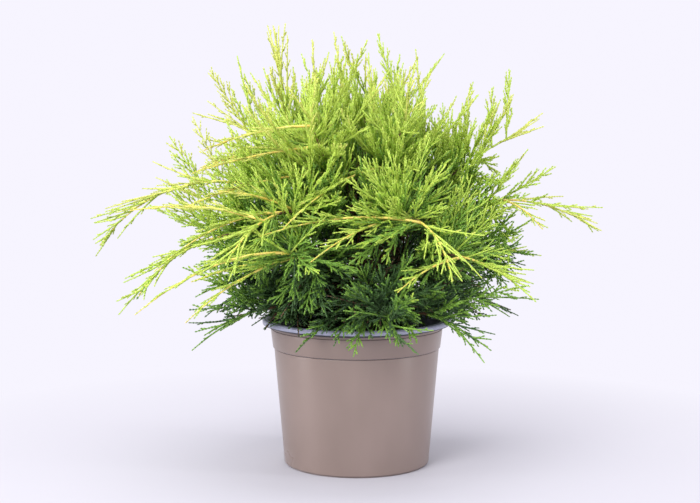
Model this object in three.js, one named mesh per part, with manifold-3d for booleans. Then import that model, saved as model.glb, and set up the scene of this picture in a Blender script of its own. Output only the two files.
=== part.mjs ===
// A young golden pfitzer juniper in a tapered two-tone nursery pot.
// Millimetres, +Z up. The origin is the centre of the pot's flat underside, and the plant's front
// faces -Y. A short stem stands in the compost and carries four tiers of arching boughs. Each bough
// ends where its mass of foliage begins, and the mass runs on along the same arch to the limb's tip.
import * as THREE from "three";
import { mergeVertices } from "three/addons/utils/BufferGeometryUtils.js";
import Module from "manifold-3d";

const wasm = await Module();
wasm.setup();

const SEAT_GAP = 0.3; // between pieces that touch

const COLOURS = {
  taupe: 0xa5948c,
  compost: 0x2b211b,
  bark: 0x6b4636,
  golden: 0xb9c450,
  green: 0x6f9636,
  shaded: 0x3f6a30,
};

// Pot: thin tapered wall with a wider band under a rolled lip
const POT_HEIGHT = 132;
const RIM_RADIUS = 85;
const BASE_RADIUS = 65.5;
const BAND_HEIGHT = 106; // where the wider band begins
const BAND_RADIUS = 74.4; // of the wall just under the band
const BAND_STEP = 1.2;
const NECK_RADIUS = 78; // of the band where the lip turns out
const LIP_DROP = 4.6; // how far the rolled lip hangs down
const WALL = 1.2;
const BASE_THICK = 3.8;
const POT_SIDES = 32;

// Underside: a middle pad and a foot ring, with a raised channel and drain holes between them
const PAD_RADIUS = 21;
const FOOT_INNER_RADIUS = 49;
const CHANNEL_RISE = 2.4;
const DRAIN_COUNT = 6;
const DRAIN_RADIUS = 5;
const DRAIN_SIDES = 8;

// Compost
const SOIL_EDGE = 117;
const SOIL_CENTRE = 122;
const SOIL_SEAT_RADIUS = 13; // flat patch that the stem stands on

// Stem
const STEM_LENGTH = 66;
const STEM_FLARE_RADIUS = 8.6;
const STEM_RADIUS = 5.6;
const STEM_TIP_RADIUS = 3.4;
const STEM_LEAN = { azimuth: 35, tilt: 6 };
const STEM_SIDES = 10;

// Limbs: a bough and the leading shoot of its mass share one arch, cut at the share called bare
const PATH_STEPS = 24;
const BOUGH_SIDES = 5;
const LEADER_SIDES = 3;
const LEADER_RADIUS = 1.7;
const LEADER_TIP_RADIUS = 0.45;
const TIERS = [
  { name: "skirt", count: 6, from: 5, to: 13, rise: 30, fall: -30, length: 152, turn: 330, bare: 0.25,
    thick: 2.3, lift: [-60, 90], spread: [28, 46], sprays: 9,
    colour: COLOURS.shaded },
  { name: "low", count: 6, from: 17, to: 27, rise: 44, fall: -6, length: 168, turn: 15, bare: 0.25,
    thick: 2.4, lift: [-40, 110], spread: [28, 46], sprays: 9,
    colour: COLOURS.green },
  { name: "middle", count: 6, from: 31, to: 42, rise: 60, fall: 6, length: 186, turn: 350, bare: 0.25,
    thick: 2.3, lift: [-20, 120], spread: [30, 50], sprays: 9,
    colour: COLOURS.green },
  { name: "upper", count: 6, from: 46, to: 59, rise: 62, fall: 44, length: 168, turn: 5, bare: 0.26,
    thick: 2, lift: [-10, 170], spread: [38, 60], sprays: 9,
    colour: COLOURS.golden },
];
// The limbs that stand out from the dense foliage in the front view: most run past it and nod
const LONG_LIMBS = {
  skirt_4: { azimuth: 166, rise: 24, fall: 40, length: 204 },
  low_3: { azimuth: 151, rise: 46, fall: 14, length: 204 },
  low_4: { azimuth: 202, rise: 64, fall: -58, length: 246 },
  low_6: { rise: 50, fall: -34, length: 196 },
  middle_1: { rise: 66, fall: -34, length: 250, sprays: 12 },
  middle_3: { azimuth: 104, rise: 64, fall: -30, length: 222, sprays: 11 },
  middle_4: { azimuth: 182, rise: 72, fall: -56, length: 300, sprays: 15 },
  middle_5: { azimuth: 236, rise: 70, fall: -46, length: 240 },
  middle_6: { rise: 66, fall: -52, length: 232 },
  upper_1: { rise: 58, fall: 26, length: 200 },
  upper_3: { azimuth: 150, rise: 63, fall: 16, length: 226 },
  upper_4: { azimuth: 190, rise: 54, fall: 86, length: 225 },
};
const CROWN_LEADER = { name: "leader", length: 160, lift: [0, 360], spread: [38, 60], sprays: 11,
  colour: COLOURS.golden };

// The crown's outline: a dome over a fuller skirt, swelling and shrinking a little round the plant
const CROWN_RADIUS = 154;
const CROWN_MIDDLE = 222;
const CROWN_RISE = 130;
const CROWN_DROP = 106;

// Sprays: slim cores that twiglets stand out of, each larger than the shoots it stands for
const SPRAY_SIDES = 4;
const SPRAY_NOTCH = 0.32; // radius between its twiglets as a share of the radius at their tips
const SPRAY_SUNK = 0.5; // how far its root runs past the middle of the leading shoot
const SPRAY_LONGEST = 86;
const SPRAY_SHORTEST = 17;
const SPRAY_HALF_WIDTH = { least: 3.2, most: 13.5, perLength: 0.17 };
const SPRAY_CLEAR = 1.4; // room that a spray leaves to its neighbours' space, the pot and the compost

const radians = THREE.MathUtils.degToRad;
const between = (low, high, share) => low + (high - low) * share;

// A repeatable number from 0 to 1 for a limb, a shoot on it and a purpose.
function chance(limb, shoot, purpose) {
  const wave = Math.sin(limb * 12.9898 + shoot * 78.233 + purpose * 37.719) * 43758.5453;
  return wave - Math.floor(wave);
}

function finish(colour, roughness) {
  return new THREE.MeshStandardMaterial({ color: colour, roughness, metalness: 0 });
}

// A closed geometry as a solid that can be joined and cut.
function solidFrom(geometry) {
  const bare = geometry.clone();
  bare.deleteAttribute("normal");
  bare.deleteAttribute("uv");
  const merged = mergeVertices(bare, 1e-4);
  return new wasm.Manifold(
    new wasm.Mesh({
      numProp: 3,
      vertProperties: new Float32Array(merged.attributes.position.array),
      triVerts: new Uint32Array(merged.index.array),
    }),
  );
}

// The largest body of a solid as a mesh, without the loose scraps that joining and cutting leave.
function meshFrom(solid, name, material) {
  const bodies = solid.decompose();
  const largest = bodies.reduce((a, b) => (b.volume() > a.volume() ? b : a));
  const found = largest.getMesh();
  const geometry = new THREE.BufferGeometry();
  const places = [];
  for (let i = 0; i < found.numVert; i++) {
    places.push(...found.vertProperties.subarray(i * found.numProp, i * found.numProp + 3));
  }
  geometry.setAttribute("position", new THREE.Float32BufferAttribute(places, 3));
  geometry.setIndex([...found.triVerts]);
  geometry.computeVertexNormals();
  const mesh = new THREE.Mesh(geometry, material);
  mesh.name = name;
  return mesh;
}

// A profile of [radius, height] pairs turned about the pot's axis.
function turned(profile) {
  const points = profile.map(([radius, height]) => new THREE.Vector2(radius, height));
  const geometry = new THREE.LatheGeometry(points, POT_SIDES);
  geometry.rotateX(Math.PI / 2);
  return geometry;
}

// Radius of the pot's inner wall below its band.
function innerRadius(height) {
  return between(BASE_RADIUS, BAND_RADIUS, height / BAND_HEIGHT) - WALL;
}

function potSolid() {
  const lipBottom = POT_HEIGHT - LIP_DROP;
  const profile = [
    [0, 0],
    [PAD_RADIUS, 0],
    [PAD_RADIUS + CHANNEL_RISE, CHANNEL_RISE],
    [FOOT_INNER_RADIUS - CHANNEL_RISE, CHANNEL_RISE],
    [FOOT_INNER_RADIUS, 0],
    [BASE_RADIUS - 1.8, 0],
    [BASE_RADIUS, 1.8],
    [BAND_RADIUS, BAND_HEIGHT],
    [BAND_RADIUS + BAND_STEP, BAND_HEIGHT + BAND_STEP],
    [NECK_RADIUS, lipBottom + 0.4],
    [NECK_RADIUS + 0.8, POT_HEIGHT - 2.2],
    [RIM_RADIUS - 2 * WALL, POT_HEIGHT - 2.2],
    [RIM_RADIUS - 1.1 * WALL, lipBottom],
    [RIM_RADIUS, lipBottom],
    [RIM_RADIUS, POT_HEIGHT - 1.3],
    [RIM_RADIUS - 1.2, POT_HEIGHT],
    [NECK_RADIUS + 1.2, POT_HEIGHT],
    [NECK_RADIUS - WALL - 0.2, POT_HEIGHT - 2.4],
    [BAND_RADIUS + BAND_STEP - WALL, BAND_HEIGHT + BAND_STEP],
    [BAND_RADIUS - WALL, BAND_HEIGHT],
    [innerRadius(BASE_THICK), BASE_THICK],
    [0, BASE_THICK],
  ];
  let pot = solidFrom(turned(profile));
  const ringRadius = (PAD_RADIUS + FOOT_INNER_RADIUS) / 2;
  for (let i = 0; i < DRAIN_COUNT; i++) {
    const hole = new THREE.CylinderGeometry(DRAIN_RADIUS, DRAIN_RADIUS, 4 * BASE_THICK, DRAIN_SIDES);
    hole.rotateX(Math.PI / 2);
    hole.translate(ringRadius, 0, 0);
    hole.rotateZ((2 * Math.PI * (i + 0.5)) / DRAIN_COUNT);
    pot = pot.subtract(solidFrom(hole));
  }
  return pot;
}

function soilSolid() {
  const bottom = BASE_THICK + SEAT_GAP;
  const side = (height) => innerRadius(height) - SEAT_GAP;
  return solidFrom(
    turned([
      [0, bottom],
      [side(bottom), bottom],
      [side(BAND_HEIGHT - 1), BAND_HEIGHT - 1],
      [side(BAND_HEIGHT) + 0.6 * BAND_STEP, SOIL_EDGE],
      [0.72 * BAND_RADIUS, between(SOIL_EDGE, SOIL_CENTRE, 0.6)],
      [SOIL_SEAT_RADIUS, SOIL_CENTRE],
      [0, SOIL_CENTRE],
    ]),
  );
}

// The points of an arch from a start, with its slope in degrees turning evenly from rise to fall.
function archPath({ start, azimuth, sway = 0, rise, fall, length }) {
  const path = [start.clone()];
  for (let i = 0; i < PATH_STEPS; i++) {
    const share = (i + 0.5) / PATH_STEPS;
    const slope = radians(between(rise, fall, share));
    const heading = radians(azimuth + sway * Math.sin(Math.PI * share));
    const step = new THREE.Vector3(
      Math.cos(slope) * Math.cos(heading),
      Math.cos(slope) * Math.sin(heading),
      Math.sin(slope),
    );
    path.push(path[i].clone().addScaledVector(step, length / PATH_STEPS));
  }
  return path;
}

// The place on a limb at a share of its length, with its direction, its side and its upper side.
function frameAt(limb, share) {
  const along = Math.min(Math.max(share, 0), 1) * PATH_STEPS;
  const i = Math.min(Math.floor(along), PATH_STEPS - 1);
  const place = limb.path[i].clone().lerp(limb.path[i + 1], along - i);
  const before = limb.path[Math.max(i - 1, 0)];
  const after = limb.path[Math.min(i + 2, PATH_STEPS)];
  const forward = after.clone().sub(before).normalize();
  const heading = radians(limb.azimuth);
  const side = new THREE.Vector3(-Math.sin(heading), Math.cos(heading), 0);
  side.addScaledVector(forward, -side.dot(forward)).normalize();
  const upper = forward.clone().cross(side);
  return { place, forward, side, upper };
}

// A round bar bent along part of a limb, its radius given for each share of that part.
function limbGeometry(limb, from, to, sides, rings, radiusAt) {
  const bar = new THREE.CylinderGeometry(1, 1, 1, sides, rings);
  const places = bar.attributes.position;
  for (let i = 0; i < places.count; i++) {
    const share = places.getY(i) + 0.5;
    const { place, side, upper } = frameAt(limb, between(from, to, share));
    place.addScaledVector(side, places.getX(i) * radiusAt(share));
    place.addScaledVector(upper, -places.getZ(i) * radiusAt(share));
    places.setXYZ(i, place.x, place.y, place.z);
  }
  return bar;
}

const stem = {
  azimuth: STEM_LEAN.azimuth,
  rise: 90 - STEM_LEAN.tilt,
  fall: 90 - STEM_LEAN.tilt / 2,
  length: STEM_LENGTH,
};
stem.path = archPath({ ...stem, start: new THREE.Vector3(0, 0, SOIL_CENTRE + SEAT_GAP) });

// The stem's radius at a share of its length: a root flare that runs out, then an even taper.
function stemRadius(share) {
  const flare = (STEM_FLARE_RADIUS - STEM_RADIUS) * Math.exp(-7 * share);
  return flare + between(STEM_RADIUS, STEM_TIP_RADIUS, share);
}

// The stem is levelled off at the compost, so that it stands on a flat cut.
function stemSolid(extra) {
  const grown = (share) => stemRadius(share) + extra;
  const geometry = limbGeometry(stem, 0, 1, STEM_SIDES, 8, grown);
  const places = geometry.attributes.position;
  for (let i = 0; i < places.count; i++) {
    if (places.getZ(i) < SOIL_CENTRE + 2) {
      places.setZ(i, SOIL_CENTRE + SEAT_GAP - extra);
    }
  }
  return solidFrom(geometry);
}

// Every limb of every tier, spaced round the stem and varied a little by chance.
function makeLimbs() {
  const limbs = [];
  for (const tier of TIERS) {
    for (let i = 0; i < tier.count; i++) {
      const number = limbs.length;
      const name = `${tier.name}_${i + 1}`;
      const limb = {
        ...tier,
        name,
        number,
        azimuth: tier.turn + (360 * i) / tier.count + between(-9, 9, chance(number, 0, 1)),
        sway: between(-14, 14, chance(number, 0, 2)),
        rise: tier.rise + between(-4, 4, chance(number, 0, 3)),
        fall: tier.fall + between(-8, 8, chance(number, 0, 4)),
        length: tier.length * between(0.92, 1.1, chance(number, 0, 5)),
        ...LONG_LIMBS[name],
      };
      const height = between(tier.from, tier.to, (i % 2) / 2 + i / tier.count / 2) / STEM_LENGTH;
      limb.path = archPath({ ...limb, start: frameAt(stem, height).place });
      limbs.push(limb);
    }
  }
  const crown = { ...CROWN_LEADER, number: limbs.length, azimuth: stem.azimuth, rise: stem.fall, fall: 90 };
  crown.bare = SEAT_GAP / crown.length;
  crown.path = archPath({ ...crown, start: frameAt(stem, 1).place });
  limbs.push(crown);
  return limbs;
}

// Distance from a point to a limb's path.
function distanceTo(limb, point) {
  let nearest = Infinity;
  const line = new THREE.Line3();
  const closest = new THREE.Vector3();
  for (let i = 0; i < PATH_STEPS; i++) {
    line.set(limb.path[i], limb.path[i + 1]).closestPointToPoint(point, true, closest);
    nearest = Math.min(nearest, closest.distanceTo(point));
  }
  return nearest;
}

// A mass keeps to the points that are nearer to its own limb than to any other, off pot and compost.
function ownsPoint(limbs, limb, point) {
  const out = Math.hypot(point.x, point.y);
  if (point.z < POT_HEIGHT + SPRAY_CLEAR && out < RIM_RADIUS + SPRAY_CLEAR) return false;
  if (distanceTo(stem, point) < STEM_RADIUS + SPRAY_CLEAR) return false;
  const own = distanceTo(limb, point) + SPRAY_CLEAR;
  return limbs.every((other) => other === limb || distanceTo(other, point) > own);
}

// Under 1 inside the crown's outline.
function crownLevel(point) {
  const around = Math.atan2(point.y, point.x);
  const swell = 1 + 0.05 * Math.sin(3 * around + 1) + 0.04 * Math.sin(5 * around + 2.2);
  const out = Math.hypot(point.x, point.y) / (CROWN_RADIUS * swell);
  const above = (point.z - CROWN_MIDDLE) / CROWN_RISE;
  const below = (CROWN_MIDDLE - point.z) / CROWN_DROP;
  return out ** 2 + (above > 0 ? above ** 2 : below ** 4);
}

// How far a shoot can run from a point before it leaves the crown's outline.
function roomAlong(point, direction) {
  const reach = point.clone();
  let room = 0;
  while (room < SPRAY_LONGEST && crownLevel(reach) < 1) {
    reach.addScaledVector(direction, 2);
    room += 2;
  }
  return room;
}

// A spray lying along X: a slim core with the tips of its twiglets standing out of it, swept forward
// and set alternately round it, and the whole curved along its length.
function sprayGeometry(length, halfWidth, rings, curl) {
  const pitch = length / (rings + 1);
  const corners = [[-SPRAY_SUNK, 0, 0]];
  for (let i = 0; i < rings; i++) {
    const width = halfWidth * (1 - (0.6 * i) / rings) * (i ? 1 : 0.45);
    for (let j = 0; j < SPRAY_SIDES; j++) {
      const standsOut = (i + j) % 2 === 0;
      const radius = width * (standsOut ? 1 : SPRAY_NOTCH);
      const around = (2 * Math.PI * (j + 0.5)) / SPRAY_SIDES;
      const along = (i + (standsOut ? 1.05 : 0.5)) * pitch;
      corners.push([along, radius * Math.cos(around), radius * Math.sin(around)]);
    }
  }
  corners.push([length, 0, 0]);
  const tip = corners.length - 1;
  const faces = [];
  for (let j = 0; j < SPRAY_SIDES; j++) {
    const next = (j + 1) % SPRAY_SIDES;
    faces.push([0, 1 + next, 1 + j]);
    for (let i = 0; i < rings - 1; i++) {
      const here = 1 + i * SPRAY_SIDES;
      const there = here + SPRAY_SIDES;
      faces.push([here + j, here + next, there + j], [here + next, there + next, there + j]);
    }
    faces.push([tip - SPRAY_SIDES + j, tip - SPRAY_SIDES + next, tip]);
  }
  for (const corner of corners) {
    const share = Math.max(corner[0], 0) / length;
    corner[2] += curl * length * share * share;
  }
  const spray = new THREE.BufferGeometry();
  spray.setAttribute("position", new THREE.Float32BufferAttribute(corners.flat(), 3));
  spray.setIndex(faces.flat());
  return spray;
}

// Where shoot k of a limb leaves its leading shoot, and which way and how far it grows there when
// its angle to the leading shoot is narrowed.
function shootOn(limb, k, narrow) {
  const share = between(limb.bare + 6 / limb.length, 0.97, (k + 0.3) / limb.sprays);
  const { place, forward, side, upper } = frameAt(limb, share);
  const hand = k % 2 ? 1 : -1;
  const lift = radians(between(...limb.lift, chance(limb.number, k, 6)));
  const spread = narrow * radians(between(...limb.spread, chance(limb.number, k, 7)) + 6 * share);
  const outward = side.multiplyScalar(hand * Math.cos(lift)).addScaledVector(upper, Math.sin(lift));
  const direction = forward.clone().multiplyScalar(Math.cos(spread));
  direction.addScaledVector(outward, Math.sin(spread));
  const room = roomAlong(place, direction) * between(0.86, 1.12, chance(limb.number, k, 8));
  const longest = SPRAY_LONGEST * between(0.75, 1, chance(limb.number, k, 9)) * (1.15 - 0.5 * share);
  const length = Math.max(Math.min(room, longest), SPRAY_SHORTEST * (1.35 - 0.4 * share));
  return { place, direction, forward, length };
}

// A spray set on its shoot's line.
function placedSpray(limb, k, shoot, shorten) {
  const length = shoot.length * shorten;
  const rings = length > SPRAY_LONGEST / 2 ? 4 : 3;
  const { least, most, perLength } = SPRAY_HALF_WIDTH;
  const halfWidth = Math.min(least + perLength * length, most);
  const curl = between(-0.06, 0.16, chance(limb.number, k, 10));
  const geometry = sprayGeometry(length, halfWidth, rings, curl);
  const across = shoot.forward.clone();
  across.addScaledVector(shoot.direction, -across.dot(shoot.direction)).normalize();
  across.applyAxisAngle(shoot.direction, radians(90 * chance(limb.number, k, 11)));
  const normal = shoot.direction.clone().cross(across);
  const frame = new THREE.Matrix4().makeBasis(shoot.direction, across, normal);
  geometry.applyMatrix4(frame.setPosition(shoot.place));
  return geometry;
}

// Whether every corner of a spray beyond its root stays in its mass's own space.
function staysHome(limbs, limb, shoot, geometry) {
  const places = geometry.attributes.position;
  const corner = new THREE.Vector3();
  for (let i = 0; i < places.count; i++) {
    corner.fromBufferAttribute(places, i);
    const nearRoot = corner.distanceTo(shoot.place) < 4;
    if (!nearRoot && !ownsPoint(limbs, limb, corner)) return false;
  }
  return true;
}

// The longest spray of shoot k that stays in its mass's own space, or none.
function fittingSpray(limbs, limb, k) {
  for (const shorten of [1, 0.85, 0.7, 0.55, 0.4]) {
    for (const narrow of [1, 0.75, 0.5]) {
      const shoot = shootOn(limb, k, narrow);
      const spray = placedSpray(limb, k, shoot, shorten);
      if (staysHome(limbs, limb, shoot, spray)) return spray;
    }
  }
  return null;
}

// A mass of foliage: the limb's leading shoot with its sprays fused on, narrowed, shortened or left
// out where they would leave the mass's space.
function foliageSolid(limbs, limb) {
  const from = limb.bare + SEAT_GAP / limb.length;
  const radiusAt = (share) => between(LEADER_RADIUS, LEADER_TIP_RADIUS, share);
  let mass = solidFrom(limbGeometry(limb, from, 1, LEADER_SIDES, 6, radiusAt));
  for (let k = 0; k < limb.sprays; k++) {
    const spray = fittingSpray(limbs, limb, k);
    if (spray) mass = mass.add(solidFrom(spray));
  }
  return mass;
}

// A bough: from the stem's surface to where its mass begins.
function boughSolid(limb, grownStem) {
  const radiusAt = (share) => between(limb.thick, LEADER_RADIUS, share);
  return solidFrom(limbGeometry(limb, 0, limb.bare, BOUGH_SIDES, 3, radiusAt)).subtract(grownStem);
}

const plant = new THREE.Group();
plant.add(meshFrom(potSolid(), "pot", finish(COLOURS.taupe, 0.4)));
plant.add(meshFrom(soilSolid(), "soil", finish(COLOURS.compost, 0.95)));
plant.add(meshFrom(stemSolid(0), "stem", finish(COLOURS.bark, 0.85)));

const limbs = makeLimbs();
const grownStem = stemSolid(SEAT_GAP + 0.1);
for (const limb of limbs) {
  if (limb.name !== CROWN_LEADER.name) {
    const bough = boughSolid(limb, grownStem);
    plant.add(meshFrom(bough, `bough_${limb.name}`, finish(COLOURS.bark, 0.85)));
  }
  plant.add(meshFrom(foliageSolid(limbs, limb), `foliage_${limb.name}`, finish(limb.colour, 0.6)));
}

export default plant;
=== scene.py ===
# A young golden pfitzer juniper in a tapered two-tone nursery pot, dressed round its solids.
# The plant is grown in millimetres, as its solids are, and every mesh is made in metres: +Z up, the
# origin at the centre of the pot's flat underside, the plant's front towards -Y. A limb is a bough
# and the leading shoot of its mass on one arch. Side shoots stand on the leading shoots by the
# solids' own rule. More of them fill the crown's empty room, lean out over the pot's rim, line the
# open ends of long limbs and arch out over the crown's surface. Branchlets stand on the side shoots,
# twiglets on the branchlets, and scale leaves in crossed pairs on them all.
import math
from functools import partial

import bmesh
import bpy
import numpy as np
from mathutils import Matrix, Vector, noise


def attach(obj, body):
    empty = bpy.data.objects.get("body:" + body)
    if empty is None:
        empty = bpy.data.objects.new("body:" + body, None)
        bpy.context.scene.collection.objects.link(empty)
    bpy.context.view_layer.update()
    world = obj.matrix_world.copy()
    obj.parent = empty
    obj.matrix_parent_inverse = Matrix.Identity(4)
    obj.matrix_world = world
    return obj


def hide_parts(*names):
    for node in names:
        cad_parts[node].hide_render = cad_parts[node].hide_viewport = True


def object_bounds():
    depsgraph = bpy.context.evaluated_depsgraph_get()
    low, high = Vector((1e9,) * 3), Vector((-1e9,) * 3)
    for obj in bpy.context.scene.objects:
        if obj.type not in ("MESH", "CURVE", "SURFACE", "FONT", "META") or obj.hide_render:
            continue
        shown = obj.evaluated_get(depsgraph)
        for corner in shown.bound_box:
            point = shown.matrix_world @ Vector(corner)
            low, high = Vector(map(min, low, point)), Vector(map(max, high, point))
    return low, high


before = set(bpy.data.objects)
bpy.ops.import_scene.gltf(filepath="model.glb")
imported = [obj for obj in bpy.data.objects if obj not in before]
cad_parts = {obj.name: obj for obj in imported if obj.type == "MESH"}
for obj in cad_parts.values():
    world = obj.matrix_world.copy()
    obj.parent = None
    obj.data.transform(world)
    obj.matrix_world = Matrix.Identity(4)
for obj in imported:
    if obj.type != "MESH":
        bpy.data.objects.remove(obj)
CAD_LOW, CAD_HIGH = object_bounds()

MM = 0.001
rng = np.random.default_rng(41)
UPWARD = np.array([0, 0, 1.0])

# Pot
POT_HEIGHT = 132
RIM_RADIUS = 85
BASE_RADIUS = 65.5
BAND_HEIGHT = 106  # where the wider band begins
BAND_RADIUS = 74.4  # of the wall just under the band
BAND_STEP = 1.2
BAND_FOOT_RADIUS = BAND_RADIUS + BAND_STEP
NECK_RADIUS = 78  # of the band where the lip turns out
LIP_DROP = 4.6  # how far the rolled lip hangs down
LIP_BOTTOM = POT_HEIGHT - LIP_DROP
LIP_THICK = 2.2
LIP_CURL = 0.6  # how far the lip's lower edge turns in
LIP_CURL_RISE = 1.0
SHADOW_BOTTOM = LIP_BOTTOM - 1.7  # where the lip stops darkening the wall
LINE_HEIGHT = LIP_BOTTOM - 3.8  # of the fine line under the lip
LINE_WIDTH = 0.9
LINE_FLOOR = 0.4  # the width of the flat bottom of that line
GROOVE_DEPTH = 0.4  # of both fine lines, under the lip and under the band
WALL = 1.2
BASE_THICK = 3.8
FOOT_CHAMFER = 1.8
EDGE_BEVEL = 0.22
BEVEL_ANGLE = 20  # from which an edge that runs round the pot is bevelled
SHARP_ANGLE = 34  # from which an edge stays sharp in the shading
POT_SEGMENTS = 128
# Name, darkest and palest colour, and roughness
POT_FINISHES = [
    ("taupe_plastic", (0.190, 0.141, 0.122), (0.228, 0.171, 0.151), 0.3),
    ("slate_plastic", (0.225, 0.232, 0.315), (0.315, 0.325, 0.435), 0.34),
    # Painted shade under the lip and on the wall just below it
    ("shaded_lip", (0.020, 0.020, 0.026), (0.034, 0.034, 0.044), 0.6),
    # Painted shade in the floors of the two fine lines
    ("shaded_line", (0.075, 0.056, 0.050), (0.092, 0.070, 0.062), 0.6),
]
PAD_RADIUS = 21
FOOT_INNER_RADIUS = 49
CHANNEL_RISE = 2.4
DRAIN_COUNT = 6
DRAIN_RADIUS = 5

# Compost
SOIL_EDGE = 117
SOIL_CENTRE = 122
SOIL_SEAT_RADIUS = 13
SOIL_FALL = 1.6  # the power by which it falls more steeply towards the wall
SOIL_ROUGHNESS = 1.1
SOIL_LUMPS = (9, 3.4)  # millimetres from one lump to the next, of the coarse and the fine ones
SOIL_FINE = 0.6  # how high the fine ones are, as a share of the coarse
SOIL_STEPS = 36  # from the edge to the middle
SOIL_SEGMENTS = 140
STREWN_TO = 0.95  # how far out crumbs and litter lie, as a share of the area that they reach over
CRUMB_COUNT = 900
CRUMB_FROM = 0.03
CRUMB_SIZES = (0.5, 2.0)
CRUMB_RISE = 0.3  # how far their middles stand out, as a share of their size
CRUMB_DENTS = (0.6, 1.3)  # how far their corners stand from their middles
CRUMB_STRETCH = (0.6, 1.4)
LITTER_COUNT = 150
LITTER_REACH = 70
LITTER_FROM = 0.04
LITTER_RISE = 1.2  # over the compost's mean height
LITTER_LENGTHS = (3, 8)
LITTER_LEAF = 2.4
LITTER_SPLAY = 24
# Where along its grain each colour of the compost lies
COMPOST_COLOURS = [
    (0.3, (0.010, 0.007, 0.005)),
    (0.55, (0.035, 0.022, 0.014)),
    (0.75, (0.11, 0.066, 0.038)),
]

# Stem
SEAT_GAP = 0.3  # between pieces that touch
STEM_LENGTH = 66
STEM_FLARE_RADIUS = 8.6
STEM_RADIUS = 5.6
STEM_TIP_RADIUS = 3.4
STEM_LEAN = {"azimuth": 35, "tilt": 6}
FLARE_DECAY = 7  # how fast the root flare runs out up the stem
# Sides, rings, and how much the bark stands out and in, as a share of the radius
STEM_BARK = (28, 60, 0.16)
BOUGH_BARK = (12, 24, 0.14)
# Its lumps: ridges round the limb, millimetres from one to the next along it, and a shift
COARSE_LUMPS = (3, 14, 0)
FINE_LUMPS = (7, 5, 50)
FINE_BARK = 0.7  # how high the fine ones are, as a share of the coarse
BARK_COLOURS = [
    (0.32, (0.045, 0.022, 0.014)),
    (0.52, (0.16, 0.075, 0.042)),
    (0.70, (0.34, 0.21, 0.14)),
]

# Limbs
PATH_STEPS = 24
LEADER_RADIUS = 1.7
LEADER_TIP_RADIUS = 0.45
LEADER_RINGS = 22
LEADER_SIDES = 6
LEADER_LEAVES_FROM = 0.55  # of the leading shoot's length
LEADER_LEAF_SIZE = 1.15  # as a share of its tier's leaves
# A tier's limbs leave the stem between two heights and turn round it from a first heading. Their
# slope runs from rise to fall. The bare share of their length is a bough, as thick at its foot as it
# says, and the rest is a leading shoot, with side shoots at angles within its lift and spread.
TIERS = [
    {"name": "skirt", "count": 6, "from": 5, "to": 13, "rise": 30, "fall": -30, "length": 152,
     "turn": 330, "bare": 0.25, "thick": 2.3, "lift": (-60, 90), "spread": (28, 46), "sprays": 9},
    {"name": "low", "count": 6, "from": 17, "to": 27, "rise": 44, "fall": -6, "length": 168,
     "turn": 15, "bare": 0.25, "thick": 2.4, "lift": (-40, 110), "spread": (28, 46), "sprays": 9},
    {"name": "middle", "count": 6, "from": 31, "to": 42, "rise": 60, "fall": 6, "length": 186,
     "turn": 350, "bare": 0.25, "thick": 2.3, "lift": (-20, 120), "spread": (30, 50), "sprays": 9},
    {"name": "upper", "count": 6, "from": 46, "to": 59, "rise": 62, "fall": 44, "length": 168,
     "turn": 5, "bare": 0.26, "thick": 2, "lift": (-10, 170), "spread": (38, 60), "sprays": 9},
]
# The limbs that stand out from the dense foliage in the front view
LONG_LIMBS = {
    "skirt_4": {"azimuth": 166, "rise": 24, "fall": 40, "length": 204},
    "low_3": {"azimuth": 151, "rise": 46, "fall": 14, "length": 204},
    "low_4": {"azimuth": 202, "rise": 64, "fall": -58, "length": 246},
    "low_6": {"rise": 50, "fall": -34, "length": 196},
    "middle_1": {"rise": 66, "fall": -34, "length": 250, "sprays": 12},
    "middle_3": {"azimuth": 104, "rise": 64, "fall": -30, "length": 222, "sprays": 11},
    "middle_4": {"azimuth": 182, "rise": 72, "fall": -56, "length": 300, "sprays": 15},
    "middle_5": {"azimuth": 236, "rise": 70, "fall": -46, "length": 240},
    "middle_6": {"rise": 66, "fall": -52, "length": 232},
    "upper_1": {"rise": 58, "fall": 26, "length": 200},
    "upper_3": {"azimuth": 150, "rise": 63, "fall": 16, "length": 226},
    "upper_4": {"azimuth": 190, "rise": 54, "fall": 86, "length": 225},
}
CROWN_LEADER = {"name": "leader", "length": 160, "lift": (0, 360), "spread": (38, 60), "sprays": 11}
# How far a limb strays from its tier's values to both sides, in degrees
LIMB_STRAY = {"azimuth": 9, "sway": 14, "rise": 4, "fall": 8}
LIMB_LENGTHS = (0.92, 1.1)  # as a share of its tier's length

# The crown's outline, which swells and shrinks a little round the plant
CROWN_RADIUS = 154
CROWN_MIDDLE = 222
CROWN_RISE = 130
CROWN_DROP = 106
CROWN_SWELLS = [(0.05, 3, 1), (0.04, 5, 2.2)]  # how much, how many times round, and turned how far

# How ripe a place is, from green in the shade to gold in the sun: the gold of the outer growth is
# real, and the darker tints deep in the crown and low down are partly painted shade
RIPE_AND_SHADE_DEPTH = 0.42  # how far out in the crown it begins
RIPE_AND_SHADE_BOTTOM = 134
RIPE_AND_SHADE_TOP = 281
RIPE_AND_SHADE_OUTWARD = (0.27, 0.51)  # what the way out to the outline adds, at the bottom and at the top
RIPE_AND_SHADE_UPWARD = 0.39  # what the height adds
TIP_RIPENING_AND_SHADE = 0.2  # how much riper a shoot's tip is than its foot, partly real golden tip growth and partly painted shade at the foot
TONE_MARK = 0.7  # where along a twig the ripeness of its place is taken
TONE_STRAY = 0.05  # of one twig from its neighbours
SHOOT_TONE = 0.02  # how much riper than their place side shoots are
BRANCHLET_TONE = 0.03
TWIGLET_TONE = 0.06

# How far shoots and branchlets turn upward, from the crown's middle to its sides
UPRIGHT_MIDDLE = 1.15
UPRIGHT_REACH = 0.85  # the share of the crown's radius over which it falls by 1
UPRIGHT_LEAST = 0.12

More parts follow.
